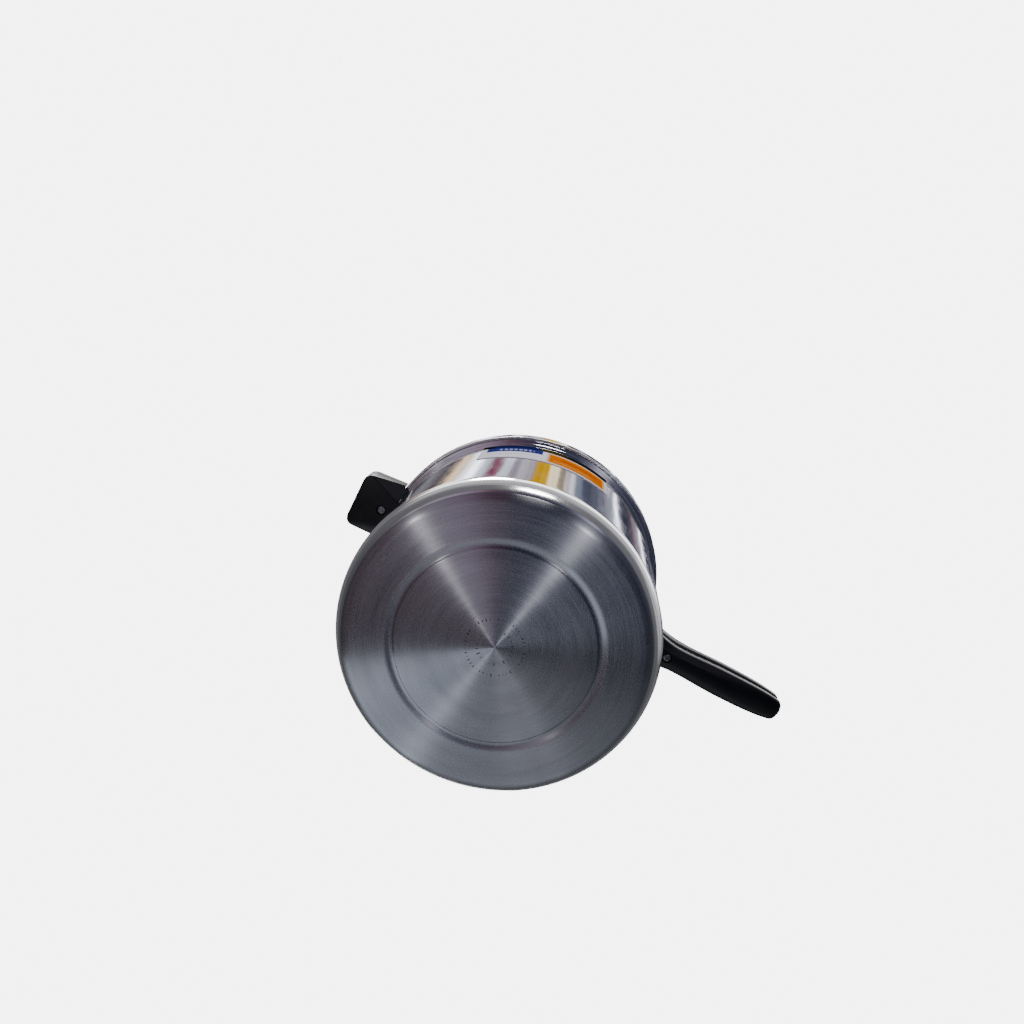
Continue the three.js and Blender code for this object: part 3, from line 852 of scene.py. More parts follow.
@dataclass
class Fastener:
    """A turned fastener, drawn once along Z and seated on points."""

    profile: Sequence[tuple[float, float, float]]
    slot_width: float = 0.0
    slot_depth: float = 0.0
    facets: int = 32

    def template(self, name: str) -> Piece:
        """Returns one fastener at the origin, hidden from the render.

        Args:
            name: the template's name.

        Returns:
            The template object.
        """
        shape = lathe(eased(self.profile, False, 3), False, even(self.facets))
        made = piece_from(shape, name, [BRIGHT_STEEL])
        if self.slot_depth > 0.0:
            low = min(z for _, z, _ in self.profile)
            reach = max(r for r, _, _ in self.profile) * 0.68
            cutters = []
            for long_x in (True, False):
                half = (reach, self.slot_width / 2) if long_x else (self.slot_width / 2, reach)
                cutters.append(slab(-half[0], half[0], -half[1], half[1], low - 1, low + self.slot_depth))
            carve(made, cutters)
            smooth(made.data)
        made.hide_render = True
        return made

    def seat(self, name: str, seats: Sequence[tuple[Point3, Point3]], finish: Finish) -> Piece:
        """Seats the fastener on points, each turned its own way.

        Args:
            name: the piece's name.
            seats: pairs of place in millimetres and turn in degrees.
            finish: the finish of all of them.

        Returns:
            One piece with every fastener.
        """
        template = self.template(f"{name}_template")
        recipe = Recipe(f"{name}_recipe")
        entry = recipe.given(Template=template, Size=1.0)
        source = recipe.node("GeometryNodeObjectInfo", {"Object": entry.outputs["Template"]})
        turned = recipe.node("GeometryNodeInputNamedAttribute", {"Name": "turn"}, data_type="FLOAT_VECTOR")
        placed = recipe.node("GeometryNodeInstanceOnPoints", {
            "Points": entry.outputs["Geometry"],
            "Instance": source.outputs["Geometry"],
            "Rotation": turned.outputs[0],
        })
        sized = recipe.node("GeometryNodeScaleInstances", {0: placed.outputs[0]})
        recipe.graph.feed(sized.inputs["Scale"], entry.outputs["Size"])
        recipe.close(sized.outputs[0], finish)
        piece = recipe.run(name, *zip(*seats))
        bpy.data.objects.remove(template, do_unlink=True)
        return piece


def cutter(shape: Mesh) -> Piece:
    """Returns a shape as a cutting tool."""
    return piece_from(shape, "cutter", [BLACK_PHENOLIC])


def slab(x0: float, x1: float, y0: float, y1: float, z0: float, z1: float) -> Piece:
    """Returns a cutting block between two corners, in millimetres."""
    made = bmesh.new()
    bmesh.ops.create_cube(made, size=1.0)
    size = Matrix.Diagonal(((x1 - x0) * MM, (y1 - y0) * MM, (z1 - z0) * MM, 1.0))
    middle = Matrix.Translation(((x0 + x1) / 2 * MM, (y0 + y1) / 2 * MM, (z0 + z1) / 2 * MM))
    made.transform(middle @ size)
    return cutter(made)


def bore(x: float, radius: float, bottom: float, top: float) -> Piece:
    """Returns a round cutter along Z, in millimetres."""
    made = bmesh.new()
    bmesh.ops.create_cone(
        made, cap_ends=True, segments=40, radius1=radius * MM, radius2=radius * MM, depth=(top - bottom) * MM,
    )
    made.transform(Matrix.Translation((x * MM, 0.0, (top + bottom) / 2 * MM)))
    return cutter(made)


def hull(points: Sequence[Point3]) -> Piece:
    """Returns a cutter wrapped round points, in millimetres."""
    made = bmesh.new()
    verts = [made.verts.new(tuple(v * MM for v in point)) for point in points]
    bmesh.ops.convex_hull(made, input=verts)
    bmesh.ops.recalc_face_normals(made, faces=made.faces)
    return cutter(made)


# ------------------------------------------------------------------- the pot


@dataclass
class Pot:
    """The spun pot with its rim lugs, its printed strip topped with painted shade, and the ring of marks on
    its base.
    """

    radius: float = 118.0
    wall: float = 3.0
    rim: float = 182.0
    neck: float = 116.2
    heel_out: float = 14.0
    heel_up: float = 20.0
    floor: float = 5.0
    disc: float = 72.0
    groove: float = 1.1
    groove_width: float = 7.0
    lugs: int = 6
    lug_width: float = 28.0
    lug_radius: float = 120.2
    lug_bottom: float = 176.8
    lug_top: float = 179.3
    polish_from: float = 2.6
    inside_radius: float = 115.2
    bead_radius: float = 120.5
    bead_bottom: float = 170.4
    bead_top: float = 171.6
    mark_width: float = 0.7
    mark_depth: float = 0.06
    dish: float = 0.08

    def profile(self) -> list[Point]:
        """Returns the pot's section, from the middle of its base round to the middle of its floor."""
        heel = (self.radius - self.heel_out, self.heel_up)
        inner = self.neck - self.wall
        start = eased([
            (0, self.dish, 0), (24, self.dish, 0), (60, 0, 0), (self.disc, 0, 0.5),
            (self.disc + 1.2, self.groove, 0.5),
            (self.disc + 3.2, self.groove, 1.2), (self.disc + self.groove_width, 0, 1.5), (heel[0] - 6, 0, 0),
        ], False)
        outer = arc(heel, self.heel_out, self.heel_up, -90, 0, 22)
        top = eased([
            *((self.radius, height, 0) for height in (22, 60, 120, 165, 168.8)),
            (self.radius, self.bead_bottom, 0.5), (self.bead_radius, self.bead_bottom + 0.45, 0.5),
            (self.bead_radius, self.bead_top, 0.3), (self.neck, self.bead_top + 0.25, 0.4),
            (self.neck, self.lug_bottom - 0.3, 0), (self.lug_radius, self.lug_bottom, 0.3),
            (self.lug_radius, self.lug_top, 0.5), (self.neck, self.lug_top + 0.4, 0),
            (self.neck, self.rim, 0.9), (inner, self.rim, 0.9), (inner, 173.6, 1.5),
            (self.radius - self.wall, 170.6, 1.5), (self.radius - self.wall, 120, 0),
        ], False, 3)
        inside = arc(heel, self.heel_out - self.wall, self.heel_up - self.floor, 0, -90, 14)
        rings = [(r, self.floor) for r in (90, 60, 30)]
        return [*start, *outer, *top, *inside, *rings, (0, self.floor)]

    def reach(self, angle: float, radius: float, height: float) -> float:
        """Draws the lugs back to the neck between their places.

        Args:
            angle: the column's angle in degrees.
            radius: the profile's radius.
            height: the profile's height.

        Returns:
            The radius at that angle.
        """
        if radius <= self.neck + 0.15 or not self.lug_bottom - 0.4 < height < self.lug_top + 0.5:
            return radius
        return radius if on_lug(angle, self.lugs, self.lug_width) else self.neck + 0.02

    def body(self) -> Piece:
        """Builds the pot's body."""
        edges = lug_edges(self.lugs, self.lug_width)
        shape = lathe(self.profile(), False, turns_with(edges, 1.5), self.reach)
        for face in shape.faces:
            middle = face.calc_center_median()
            out = math.hypot(middle.x, middle.y) / MM
            high = middle.z / MM
            if out < self.inside_radius and high > self.floor - 0.5 and face.normal.z > -0.5:
                face.material_index = 2
            elif face.normal.z < -0.1 and high < self.polish_from:
                face.material_index = 1
        made = piece_from(shape, "pot_shell", [BUFFED_WALL, BRUSHED_BASE, BRUSHED_INSIDE], 40.0)
        return settle(made, Body.POT, ["pot_body"])

    def strip(self) -> Piece:
        """Builds the strip, with its print and its top band of painted shade, bent round the wall."""
        across, up = 60, 12
        made = bmesh.new()
        skins = []
        for reach in (self.radius + 0.45, self.radius + 0.12):
            rows = []
            for j in range(up + 1):
                z = STRIP.bottom + (STRIP.top - STRIP.bottom) * j / up
                row = []
                for i in range(across + 1):
                    turn = math.radians(STRIP.start + (STRIP.end - STRIP.start) * i / across)
                    row.append(made.verts.new((reach * MM * math.cos(turn), reach * MM * math.sin(turn), z)))
                rows.append(row)
            skins.append(rows)
            for j in range(up):
                for i in range(across):
                    made.faces.new((rows[j][i], rows[j][i + 1], rows[j + 1][i + 1], rows[j + 1][i]))
        front, back = skins
        for i in range(across):
            for j in (0, up):
                made.faces.new((front[j][i], front[j][i + 1], back[j][i + 1], back[j][i]))
        for j in range(up):
            for i in (0, across):
                made.faces.new((front[j][i], front[j + 1][i], back[j + 1][i], back[j][i]))
        bmesh.ops.recalc_face_normals(made, faces=made.faces)
        strip = piece_from(made, "printed_strip_band", [STRIP], 30.0)
        return settle(strip, Body.POT, ["wall_label"])

    def marks(self, name: str, radius: float, count: int, length: float, seed: int) -> Piece:
        """Builds a worn ring of etched ticks round the middle of the base.

        Args:
            name: the piece's name.
            radius: the ring's radius.
            count: how many ticks it has.
            length: the length of a whole tick.
            seed: picks which ticks are worn.

        Returns:
            The ring of ticks.
        """
        recipe = Recipe(f"{name}_recipe")
        entry = recipe.given(
            Count=count, Radius=radius * MM, Length=length * MM, Width=self.mark_width * MM,
            Depth=self.mark_depth * MM, Seed=seed,
        )
        ring = recipe.node("GeometryNodeMeshCircle", {
            "Vertices": entry.outputs["Count"], "Radius": entry.outputs["Radius"],
        })
        size = recipe.node("ShaderNodeCombineXYZ", {
            "X": entry.outputs["Length"], "Y": entry.outputs["Width"], "Z": entry.outputs["Depth"],
        })
        tick = recipe.node("GeometryNodeMeshCube", {"Size": size.outputs[0]})
        place = recipe.node("GeometryNodeInputPosition")
        aim = recipe.node(
            "FunctionNodeAlignEulerToVector", {"Vector": place.outputs[0]}, axis="X", pivot_axis="Z")
        worn = recipe.node(
            "FunctionNodeRandomValue", {2: 0.2, 3: 1.0, "Seed": entry.outputs["Seed"]}, data_type="FLOAT")
        scale = recipe.node("ShaderNodeCombineXYZ", {"X": worn.outputs[1], "Y": worn.outputs[1], "Z": 1.0})
        seats = recipe.node("GeometryNodeInstanceOnPoints", {
            "Points": ring.outputs[0], "Instance": tick.outputs[0],
            "Rotation": aim.outputs[0], "Scale": scale.outputs[0],
        })
        sunk = recipe.node("GeometryNodeTransform", {
            "Geometry": seats.outputs[0], "Translation": (0.0, 0.0, (self.dish - self.mark_depth / 2) * MM),
        })
        recipe.close(sunk.outputs[0], ETCHED)
        made = recipe.run(name)
        return settle(made, Body.POT)

    def build(self) -> None:
        """Builds every piece of the pot's shell."""
        self.body()
        self.strip()
        self.marks("base_marks_outer", 21.0, 46, 2.3, 7)
        self.marks("base_marks_inner", 12.5, 22, 2.8, 4)


# ---------------------------------------------------------------- the handles


def bezier(p0: Point, p1: Point, p2: Point, p3: Point, steps: int = 24) -> list[Point]:
    """Returns points on a cubic curve between two ends."""
    points = []
    for k in range(steps + 1):
        t = k / steps
        s = 1 - t
        weights = (s ** 3, 3 * s * s * t, 3 * s * t * t, t ** 3)
        points.append(tuple(sum(w * p[a] for w, p in zip(weights, (p0, p1, p2, p3))) for a in (0, 1)))
    return points


def along(points: Sequence[Point], x: float) -> float:
    """Returns the height of a polyline above x."""
    for (x0, y0), (x1, y1) in zip(points, points[1:]):
        if x0 <= x <= x1 and x1 > x0:
            return y0 + (y1 - y0) * (x - x0) / (x1 - x0)
    return points[-1][1] if x > points[-1][0] else points[0][1]


@dataclass
class LongHandle:
    """A long moulded handle, lofted along X between its outline and its side view."""

    name: str
    body: Body
    nodes: tuple[str, ...]
    bottom: list[Point]
    top: list[Point]
    inset: float
    screw_x: float
    screw_room: float
    root: float = 112.0
    neck: float = 10.8
    belly: float = 12.4
    tip: float = 262.0
    softness: float = 2.9
    steps: int = 110
    facets: int = 48

    def half_width(self) -> list[Point]:
        """Returns half the handle's width along X."""
        root, tip, inset = self.root, self.tip, self.inset
        neck, belly = self.neck - inset, self.belly - inset
        waist, broad, turn = (root + 46, neck + 0.3), (root + 95, belly), (tip - 5, belly * 0.78)
        return [
            *bezier((root, 26 - inset), (root + 14, 20 - inset), (root + 26, neck + 1.2), waist),
            *bezier(waist, (root + 62, neck), (root + 72, belly), broad)[1:],
            *bezier(broad, (root + 116, belly), (tip - 16, belly - 0.4), turn)[1:],
            *bezier(turn, (tip - 2, belly * 0.68), (tip - 0.3, belly * 0.45), (tip, belly * 0.2))[1:],
        ]

    def section(self, x: float, half: float, low: float, high: float) -> list[Vector]:
        """Returns one cross-section.

        Args:
            x: where it stands.
            half: half its width.
            low: its lowest height.
            high: its greatest height.

        Returns:
            Its points in metres.
        """
        power = 2.0 / self.softness
        middle, rise = (low + high) / 2, (high - low) / 2
        points = []
        for k in range(self.facets):
            turn = 2 * math.pi * k / self.facets
            c, s = math.cos(turn), math.sin(turn)
            across = math.copysign(abs(c) ** power, c) * half
            up = math.copysign(abs(s) ** power, s) * rise
            points.append(Vector((x, across, middle + up)) * MM)
        return points

    def loft(self) -> Mesh:
        """Returns the handle's plain solid, before it is cut to the wall."""
        made = bmesh.new()
        outline = self.half_width()
        length = self.tip - self.root
        stations = [self.root + length * (1 - (1 - k / self.steps) ** 1.35) for k in range(self.steps + 1)]
        rings = []
        for x in stations:
            left = (self.tip - x) / 6.0
            crown = math.sqrt(max(0.0, 1 - (1 - left) ** 2)) if left < 1 else 1.0
            low, high = along(self.bottom, x), along(self.top, x)
            middle = (low + high) / 2
            low = middle + (low - middle) * max(crown, 0.35)
            high = middle + (high - middle) * max(crown, 0.35)
            rings.append([made.verts.new(p) for p in self.section(x, along(outline, x), low, high)])
        for first, second in zip(rings, rings[1:]):
            for k in range(self.facets):
                n = (k + 1) % self.facets
                made.faces.new((first[k], first[n], second[n], second[k]))
        made.faces.new(list(reversed(rings[0])))
        made.faces.new(rings[-1])
        bmesh.ops.recalc_face_normals(made, faces=made.faces)
        return made

    def build(self) -> Piece:
        """Builds the handle, cut to the wall and with its screw's pocket."""
        made = piece_from(self.loft(), self.name, [BLACK_PHENOLIC], 34.0)
        low = along(self.bottom, self.screw_x)
        carve(made, [wall_cutter(), bore(self.screw_x, 4.3, low - 3, low + self.screw_room)])
        smooth(made.data, 34.0)
        return settle(made, self.body, self.nodes)


def wall_cutter() -> Piece:
    """Returns the room that a handle leaves for the wall and the lid's skirt."""
    profile = [(0, 100), (118.4, 100), (118.4, 170.1), (123.6, 170.1), (123.6, 215), (0, 215)]
    shape = lathe(profile, False, even(240))
    return cutter(shape)


@dataclass
class HelperHandle:
    """The short handle across from the long ones: a flat block that widens to the wall."""

    reach: float = 155.0
    root: float = 105.0
    root_half: float = 28.5
    end_half: float = 24.0
    corner: float = 8.0
    bottom: float = 160.5
    top: float = 181.5
    facet: float = 6.0
    screw_x: float = -130.0

    def outline(self) -> list[Point]:
        """Returns the handle seen from above."""
        corners = [
            (-self.root, -self.root_half, 0.0), (-self.root, self.root_half, 0.0),
            (-self.reach, self.end_half, self.corner), (-self.reach, -self.end_half, self.corner),
        ]
        return eased(corners, True, 8)

    def build(self) -> Piece:
        """Builds the handle with softened edges and its screw's pocket."""
        shape = bmesh.new()
        base = [shape.verts.new((x * MM, y * MM, self.bottom * MM)) for x, y in self.outline()]
        face = shape.faces.new(base)
        raised = bmesh.ops.extrude_face_region(shape, geom=[face])
        moved = [v for v in raised["geom"] if isinstance(v, bmesh.types.BMVert)]
        bmesh.ops.translate(shape, verts=moved, vec=(0, 0, (self.top - self.bottom) * MM))
        bmesh.ops.recalc_face_normals(shape, faces=shape.faces)
        made = piece_from(shape, "helper_grip", [BLACK_PHENOLIC])
        cuts = []
        for side in (-1, 1):
            cuts.append(hull([
                (-self.reach - 1, side * (self.end_half + 1), self.bottom - 1),
                (-self.root, side * self.facet, self.bottom - 1),
                (-self.root, side * (self.root_half + 2), self.top - 3),
                (-self.root, side * (self.root_half + 2), self.bottom - 1),
            ]))
        carve(made, cuts)
        soft = made.modifiers.new("soft", "BEVEL")
        soft.width = 1.5 * MM
        soft.segments = 4
        soft.limit_method = "ANGLE"
        soft.angle_limit = math.radians(18)
        baked(made)
        carve(made, [wall_cutter(), bore(self.screw_x, 4.3, self.bottom - 3, self.bottom + 5)])
        smooth(made.data, 34.0)
        return settle(made, Body.POT, ["helper_handle"])


@dataclass
class Handles:
    """The three handles with their brackets, rivets and screws."""

    screw_seats: tuple[tuple[float, float], ...] = ((150.0, 160.8), (-130.0, 161.3))
    lid_screw: tuple[float, float] = (140.0, 177.5)
    rivet_angle: float = 5.0
    rivet_height: float = 165.5
    rivet_middle: float = 117.95
    lid_rivets: tuple[Point3, ...] = ((103.0, -5.2, 190.15), (103.0, 5.2, 190.15))

    def grips(self) -> None:
        """Builds the moulded grips."""
        LongHandle(
            "pot_grip", Body.POT, ("pot_handle",),
            bottom=[(100.0, 160.0), *bezier((195, 160), (220, 160), (242, 162), (262, 165))],
            top=[(100.0, 176.0), (262.0, 176.0)], inset=0.0, screw_x=150.0, screw_room=5.0,
        ).build()
        LongHandle(
            "lid_grip", Body.LID, ("lid_handle",),
            bottom=[(100.0, 177.0), (262.0, 177.0)],
            top=[(100.0, 199.0), *bezier((138, 199), (154, 199), (158, 196.5), (170, 194)),
                 *bezier((170, 194), (180, 192.5), (184, 192.5), (196, 192.5))[1:],
                 *bezier((196, 192.5), (222, 192.5), (242, 191.5), (262, 188.5))[1:]],
            inset=0.6, screw_x=140.0, screw_room=4.4,
        ).build()
        HelperHandle().build()

    def screws(self) -> None:
        """Seats the pan-head screws."""
        def screw(grip: float) -> Fastener:
            """Returns a screw of a given length under its head."""
            return Fastener([
                (0, 0, 0), (3.0, 0, 0.4), (4.0, 1.0, 0.5), (4.0, 3.0, 0.2), (2.0, 3.0, 0.1),
                (2.0, grip - 0.8, 0.2), (1.2, grip, 0.1), (0, grip, 0),
            ], 1.0, 1.2)

        # The screws wear steel darkened with painted shade.
        seats = [((x, 0.0, z), (0.0, 0.0, 20.0)) for x, z in self.screw_seats]
        made = screw(11.0).seat("pot_screws", seats, SHADE_DARKENED_SCREW_STEEL)
        settle(made, Body.POT, ["handle_screw", "helper_screw"])
        x, z = self.lid_screw
        made = screw(10.8).seat("lid_grip_screw", [((x, 0.0, z), (0.0, 0.0, 35.0))], SHADE_DARKENED_SCREW_STEEL)
        settle(made, Body.LID, ["lid_screw"])

    def rivets(self) -> None:
        """Seats the rivets through the wall and the lid."""
        def rivet(grip: float) -> Fastener:
            """Returns a rivet with a round head at each end of its grip."""
            half = grip / 2
            return Fastener([
                (0, -half - 1.6, 0), (1.6, -half - 1.45, 0.4), (2.9, -half - 0.9, 0.5), (3.6, -half, 0.2),
                (2.0, -half, 0.1), (2.0, half, 0.1), (3.6, half, 0.2), (2.9, half + 0.9, 0.5),
                (1.6, half + 1.45, 0.4), (0, half + 1.6, 0),
            ])

        seats = []
        for angle in (-self.rivet_angle, self.rivet_angle, 180 - self.rivet_angle, 180 + self.rivet_angle):
            turn = math.radians(angle)
            x, y = self.rivet_middle * math.cos(turn), self.rivet_middle * math.sin(turn)
            seats.append(((x, y, self.rivet_height), (0.0, 90.0, angle)))
        made = rivet(5.9).seat("wall_rivets", seats, SOFT_ALUMINIUM)
        names = [f"{side}_rivet_{end}" for side in ("handle", "helper") for end in "ab"]
        settle(made, Body.POT, names)
        seats = [(place, (0.0, 0.0, 0.0)) for place in self.lid_rivets]
        made = rivet(5.1).seat("lid_rivets", seats, SOFT_ALUMINIUM)
        settle(made, Body.LID, ["lid_rivet_a", "lid_rivet_b"])

    def build(self) -> None:
        """Builds the grips and every fastener, and dresses the brackets."""
        self.grips()
        self.screws()
        self.rivets()
        for node in ("handle_bracket", "helper_bracket", "lid_bracket"):
            dress_node(node, BRACKET_STEEL)
        for node in ("handle_nut", "helper_nut", "lid_nut"):
            dress_node(node, BRIGHT_STEEL)


# ------------------------------------------------------------------- the lid


@dataclass
class Lid:
    """The outer lid: a spun shell with inward lugs, its sealing ring, vent and safety plug."""

    radius: float = 123.0
    wall: float = 2.2
    skirt: float = 172.0
    shoulder: float = 190.0
    round: float = 6.0
    channel: float = 88.0
    plateau: float = 72.0
    top: float = 206.0
    lug_bottom: float = 173.2
    lug_top: float = 176.2
    lug_radius: float = 117.0
    lug_width: float = 30.0
    lugs: int = 6
    slot: tuple[float, float] = (104.0, 116.0)
    slot_heights: tuple[float, float] = (178.0, 183.0)

    def profile(self) -> list[Point]:
        """Returns the lid's section as a ring round the vent's hole."""
        bore_radius = self.radius - self.wall
        hole = 4.9
        inside = self.top - self.wall
        brim = self.shoulder - self.wall
        low, high = self.slot_heights
        under = eased([
            (hole, inside, 0), (self.plateau - 3.5, inside, 2.5), (self.plateau + 1, inside - 3.2, 1.5),
            (self.channel - 5, brim + 1.8, 1.5), (self.channel - 1, brim, 2.0),
            (self.radius - self.round - 4, brim, 0),
        ], False, 4)
        inner = arc((self.radius - self.round, self.shoulder - self.round),
                    self.round - self.wall, self.round - self.wall, 90, 0, 6)
        skirt = [
            (bore_radius, high), (bore_radius, low), (bore_radius, self.lug_top + 0.25),
            *eased([
                (bore_radius, self.lug_top, 0), (self.lug_radius, self.lug_top, 0.3),
                (self.lug_radius, self.lug_bottom, 0.3), (bore_radius, self.lug_bottom - 0.4, 0),
            ], False, 2),
            *eased([(bore_radius, self.lug_bottom - 0.6, 0), (bore_radius, self.skirt, 0.6),
                    (self.radius, self.skirt, 0.9), (self.radius, self.skirt + 3, 0)], False, 3),
            (self.radius, low), (self.radius, high),
        ]
        outer = arc((self.radius - self.round, self.shoulder - self.round), self.round, self.round, 0, 90, 10)
        over = eased([
            (self.radius - self.round - 4, self.shoulder, 0), (self.channel, self.shoulder, 2.0),
            (self.channel - 3.5, self.shoulder + 1.8, 1.5), (self.plateau + 2.2, self.top - 2.4, 1.5),
            (self.plateau - 2.5, self.top, 2.5), (46, self.top, 0),
        ], False, 4)
        rings = [(28, self.top), (hole, self.top)]
        return [*under, *inner, *skirt, *outer, *over, *rings]

    def reach(self, angle: float, radius: float, height: float) -> float:
        """Draws the lugs back to the skirt between their places.

        Args:
            angle: the column's angle in degrees.
            radius: the profile's radius.
            height: the profile's height.

        Returns:
            The radius at that angle.
        """
        bore_radius = self.radius - self.wall
        if radius > bore_radius - 0.05 or radius < self.lug_radius - 0.5 or height > self.lug_top + 0.1:
            return radius
        return radius if on_lug(angle, self.lugs, self.lug_width) else bore_radius - 0.02

    def shell(self) -> Piece:
        """Builds the lid's shell and opens the slot in its skirt."""
        edges = lug_edges(self.lugs, self.lug_width)
        shape = lathe(self.profile(), True, turns_with([*edges, *self.slot], 1.5), self.reach)
        low, high = self.slot_heights
        doomed = []
        for face in shape.faces:
            middle = face.calc_center_median()
            turn = math.degrees(math.atan2(middle.y, middle.x))
            out = math.hypot(middle.x, middle.y) / MM
            if self.slot[0] < turn < self.slot[1] and low < middle.z / MM < high and out > 119:
                doomed.append(face)
            on_top = face.normal.z > 0.2 and middle.z / MM > self.shoulder - 2.5
            inside = face.normal.z < -0.3 or (out < 121.5 and middle.z / MM < self.shoulder - 2)
            face.material_index = 1 if on_top else (2 if inside else 0)
        bmesh.ops.delete(shape, geom=doomed, context="FACES")
        open_edges = [edge for edge in shape.edges if edge.is_boundary]
        bmesh.ops.bridge_loops(shape, edges=open_edges)
        bmesh.ops.recalc_face_normals(shape, faces=shape.faces)
        made = piece_from(shape, "lid_cover", [BUFFED_WALL, LID_TOP, BRUSHED_INSIDE], 40.0)
        return settle(made, Body.LID, ["lid_shell"])

    def ring(self) -> Piece:
        """Builds the sealing ring: its lip section swept round a circle."""
        low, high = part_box("sealing_ring")
        outer = high.x
        inner = outer - 0.0112
        section = [
            (inner + 0.0020, low.z), (outer, low.z), (outer, high.z - 0.0027), (outer - 0.0025, high.z),
            (inner + 0.0010, high.z), (inner, high.z - 0.0017), (inner + 0.0032, low.z + 0.0020),
        ]
        corners = eased([(r / MM, z / MM, 0.5) for r, z in section], True, 3)
        middle = (inner + outer) / 2
        data = bpy.data.meshes.new("ring_section")
        places = [(r * MM - middle, -z * MM, 0.0) for r, z in corners]
        data.from_pydata(places, [(i, (i + 1) % len(places)) for i in range(len(places))], [])
        section_piece = added("ring_section", data)
        recipe = Recipe("sealing_ring_recipe")
        entry = recipe.given(Section=section_piece, Radius=middle, Facets=160)
        circle = recipe.node("GeometryNodeCurvePrimitiveCircle", {
            "Resolution": entry.outputs["Facets"], "Radius": entry.outputs["Radius"],
        })
        source = recipe.node("GeometryNodeObjectInfo", {"Object": entry.outputs["Section"]})
        line = recipe.node("GeometryNodeMeshToCurve", {0: source.outputs["Geometry"]})
        swept = recipe.node(
            "GeometryNodeCurveToMesh", {"Curve": circle.outputs[0], "Profile Curve": line.outputs[0]})
        recipe.close(swept.outputs[0], RUBBER)
        made = recipe.run("rubber_ring")
        bpy.data.objects.remove(section_piece, do_unlink=True)
        fixed = bmesh.new()
        fixed.from_mesh(made.data)
        bmesh.ops.remove_doubles(fixed, verts=fixed.verts, dist=1e-6)
        bmesh.ops.recalc_face_normals(fixed, faces=fixed.faces)
        fixed.to_mesh(made.data)
        fixed.free()
        return settle(made, Body.LID, ["sealing_ring"])

    def vent(self) -> Piece:
        """Builds the vent pipe."""
        seat = self.top + 0.3
        corners = [
            (1.3, 192, 0), (4.0, 192, 0.3), (4.6, 192.8, 0.2), (4.6, seat, 0.1),
            (8.0, seat, 0.3), (8.0, seat + 4, 0.5), (7.0, seat + 5, 0.5), (4.5, seat + 5, 0.6),
            (4.5, 229, 0.5), (3.4, 233, 0.5), (2.6, 234, 0.3), (1.3, 234, 0.2),
        ]
        shape = lathe(eased(corners, True, 3), True, even(48))
        made = piece_from(shape, "vent_stem", [BRASS])
        return settle(made, Body.LID, ["vent_pipe"])

    def build(self) -> None:
        """Builds the lid's pieces and dresses those that keep their CAD shape."""
        self.shell()
        self.ring()
        self.vent()
        for node in ("vent_nut", "plug_nut", "plug_body"):
            dress_node(node, BRASS)
        for node in ("vent_washer", "plug_washer"):
            dress_node(node, FIBRE)
        dress_node("plug_core", GREY_ALLOY)


@dataclass
class Regulator:
    """The weight that sits on the vent: a turned body, its needle and a ribbed cap."""

    cap_radius: float = 17.0
    cap_bottom: float = 240.3
    cap_top: float = 256.0
    ribs: int = 16

    def weight(self) -> Piece:
        """Builds the turned weight."""
        corners = [
            (5.1, 215, 0.2), (10.5, 215, 0.3), (12, 216.5, 0.4), (12, 221, 0.6), (14.5, 224, 0.8),
            (14.5, 230.4, 0.2), (13.9, 231, 0.2), (13.9, 232, 0.2), (14.5, 232.6, 0.2),
            (14.5, 238.5, 0.5), (13, 240, 0.5), (1.9, 240, 0.1), (1.9, 236.4, 0.1), (5.1, 235, 0.2),
        ]
        shape = lathe(eased(corners, True, 3), True, even(72))
        made = piece_from(shape, "turned_weight_body", [TURNED_STEEL])
        return settle(made, Body.WEIGHT, ["regulator_weight"])

    def cap(self) -> Piece:
        """Builds the cap with flutes round its edge."""
        corners = [
            (0, 246, 0), (2.3, 246, 0.1), (2.3, self.cap_bottom, 0.1), (14, self.cap_bottom, 0.6),
            (self.cap_radius, self.cap_bottom + 2, 0.8), (self.cap_radius - 0.4, 248.3, 1.0),
            (14.2, 253.5, 1.5), (10, 255.6, 1.5), (5.5, 255.2, 0.8), (4.5, self.cap_top, 0.6),
            (0, self.cap_top, 0),
        ]

        def flute(angle: float, radius: float, height: float) -> float:
            """Draws the edge in along each flute."""
            if radius < 12.0:
                return radius
            depth = 1.0 * max(0.0, math.cos(math.radians(angle * self.ribs))) ** 2
            return radius - depth * min(1.0, (radius - 12.0) / 3.0)

        shape = lathe(eased(corners, False, 4), False, even(180), flute)
        made = piece_from(shape, "weight_cap", [BLACK_PHENOLIC])
        return settle(made, Body.WEIGHT, ["regulator_cap"])

    def build(self) -> None:
        """Builds the weight and its cap, and dresses the needle."""
        self.weight()
        self.cap()
        dress_node("regulator_needle", BRIGHT_STEEL)


# ------------------------------------------------------------------ the studio


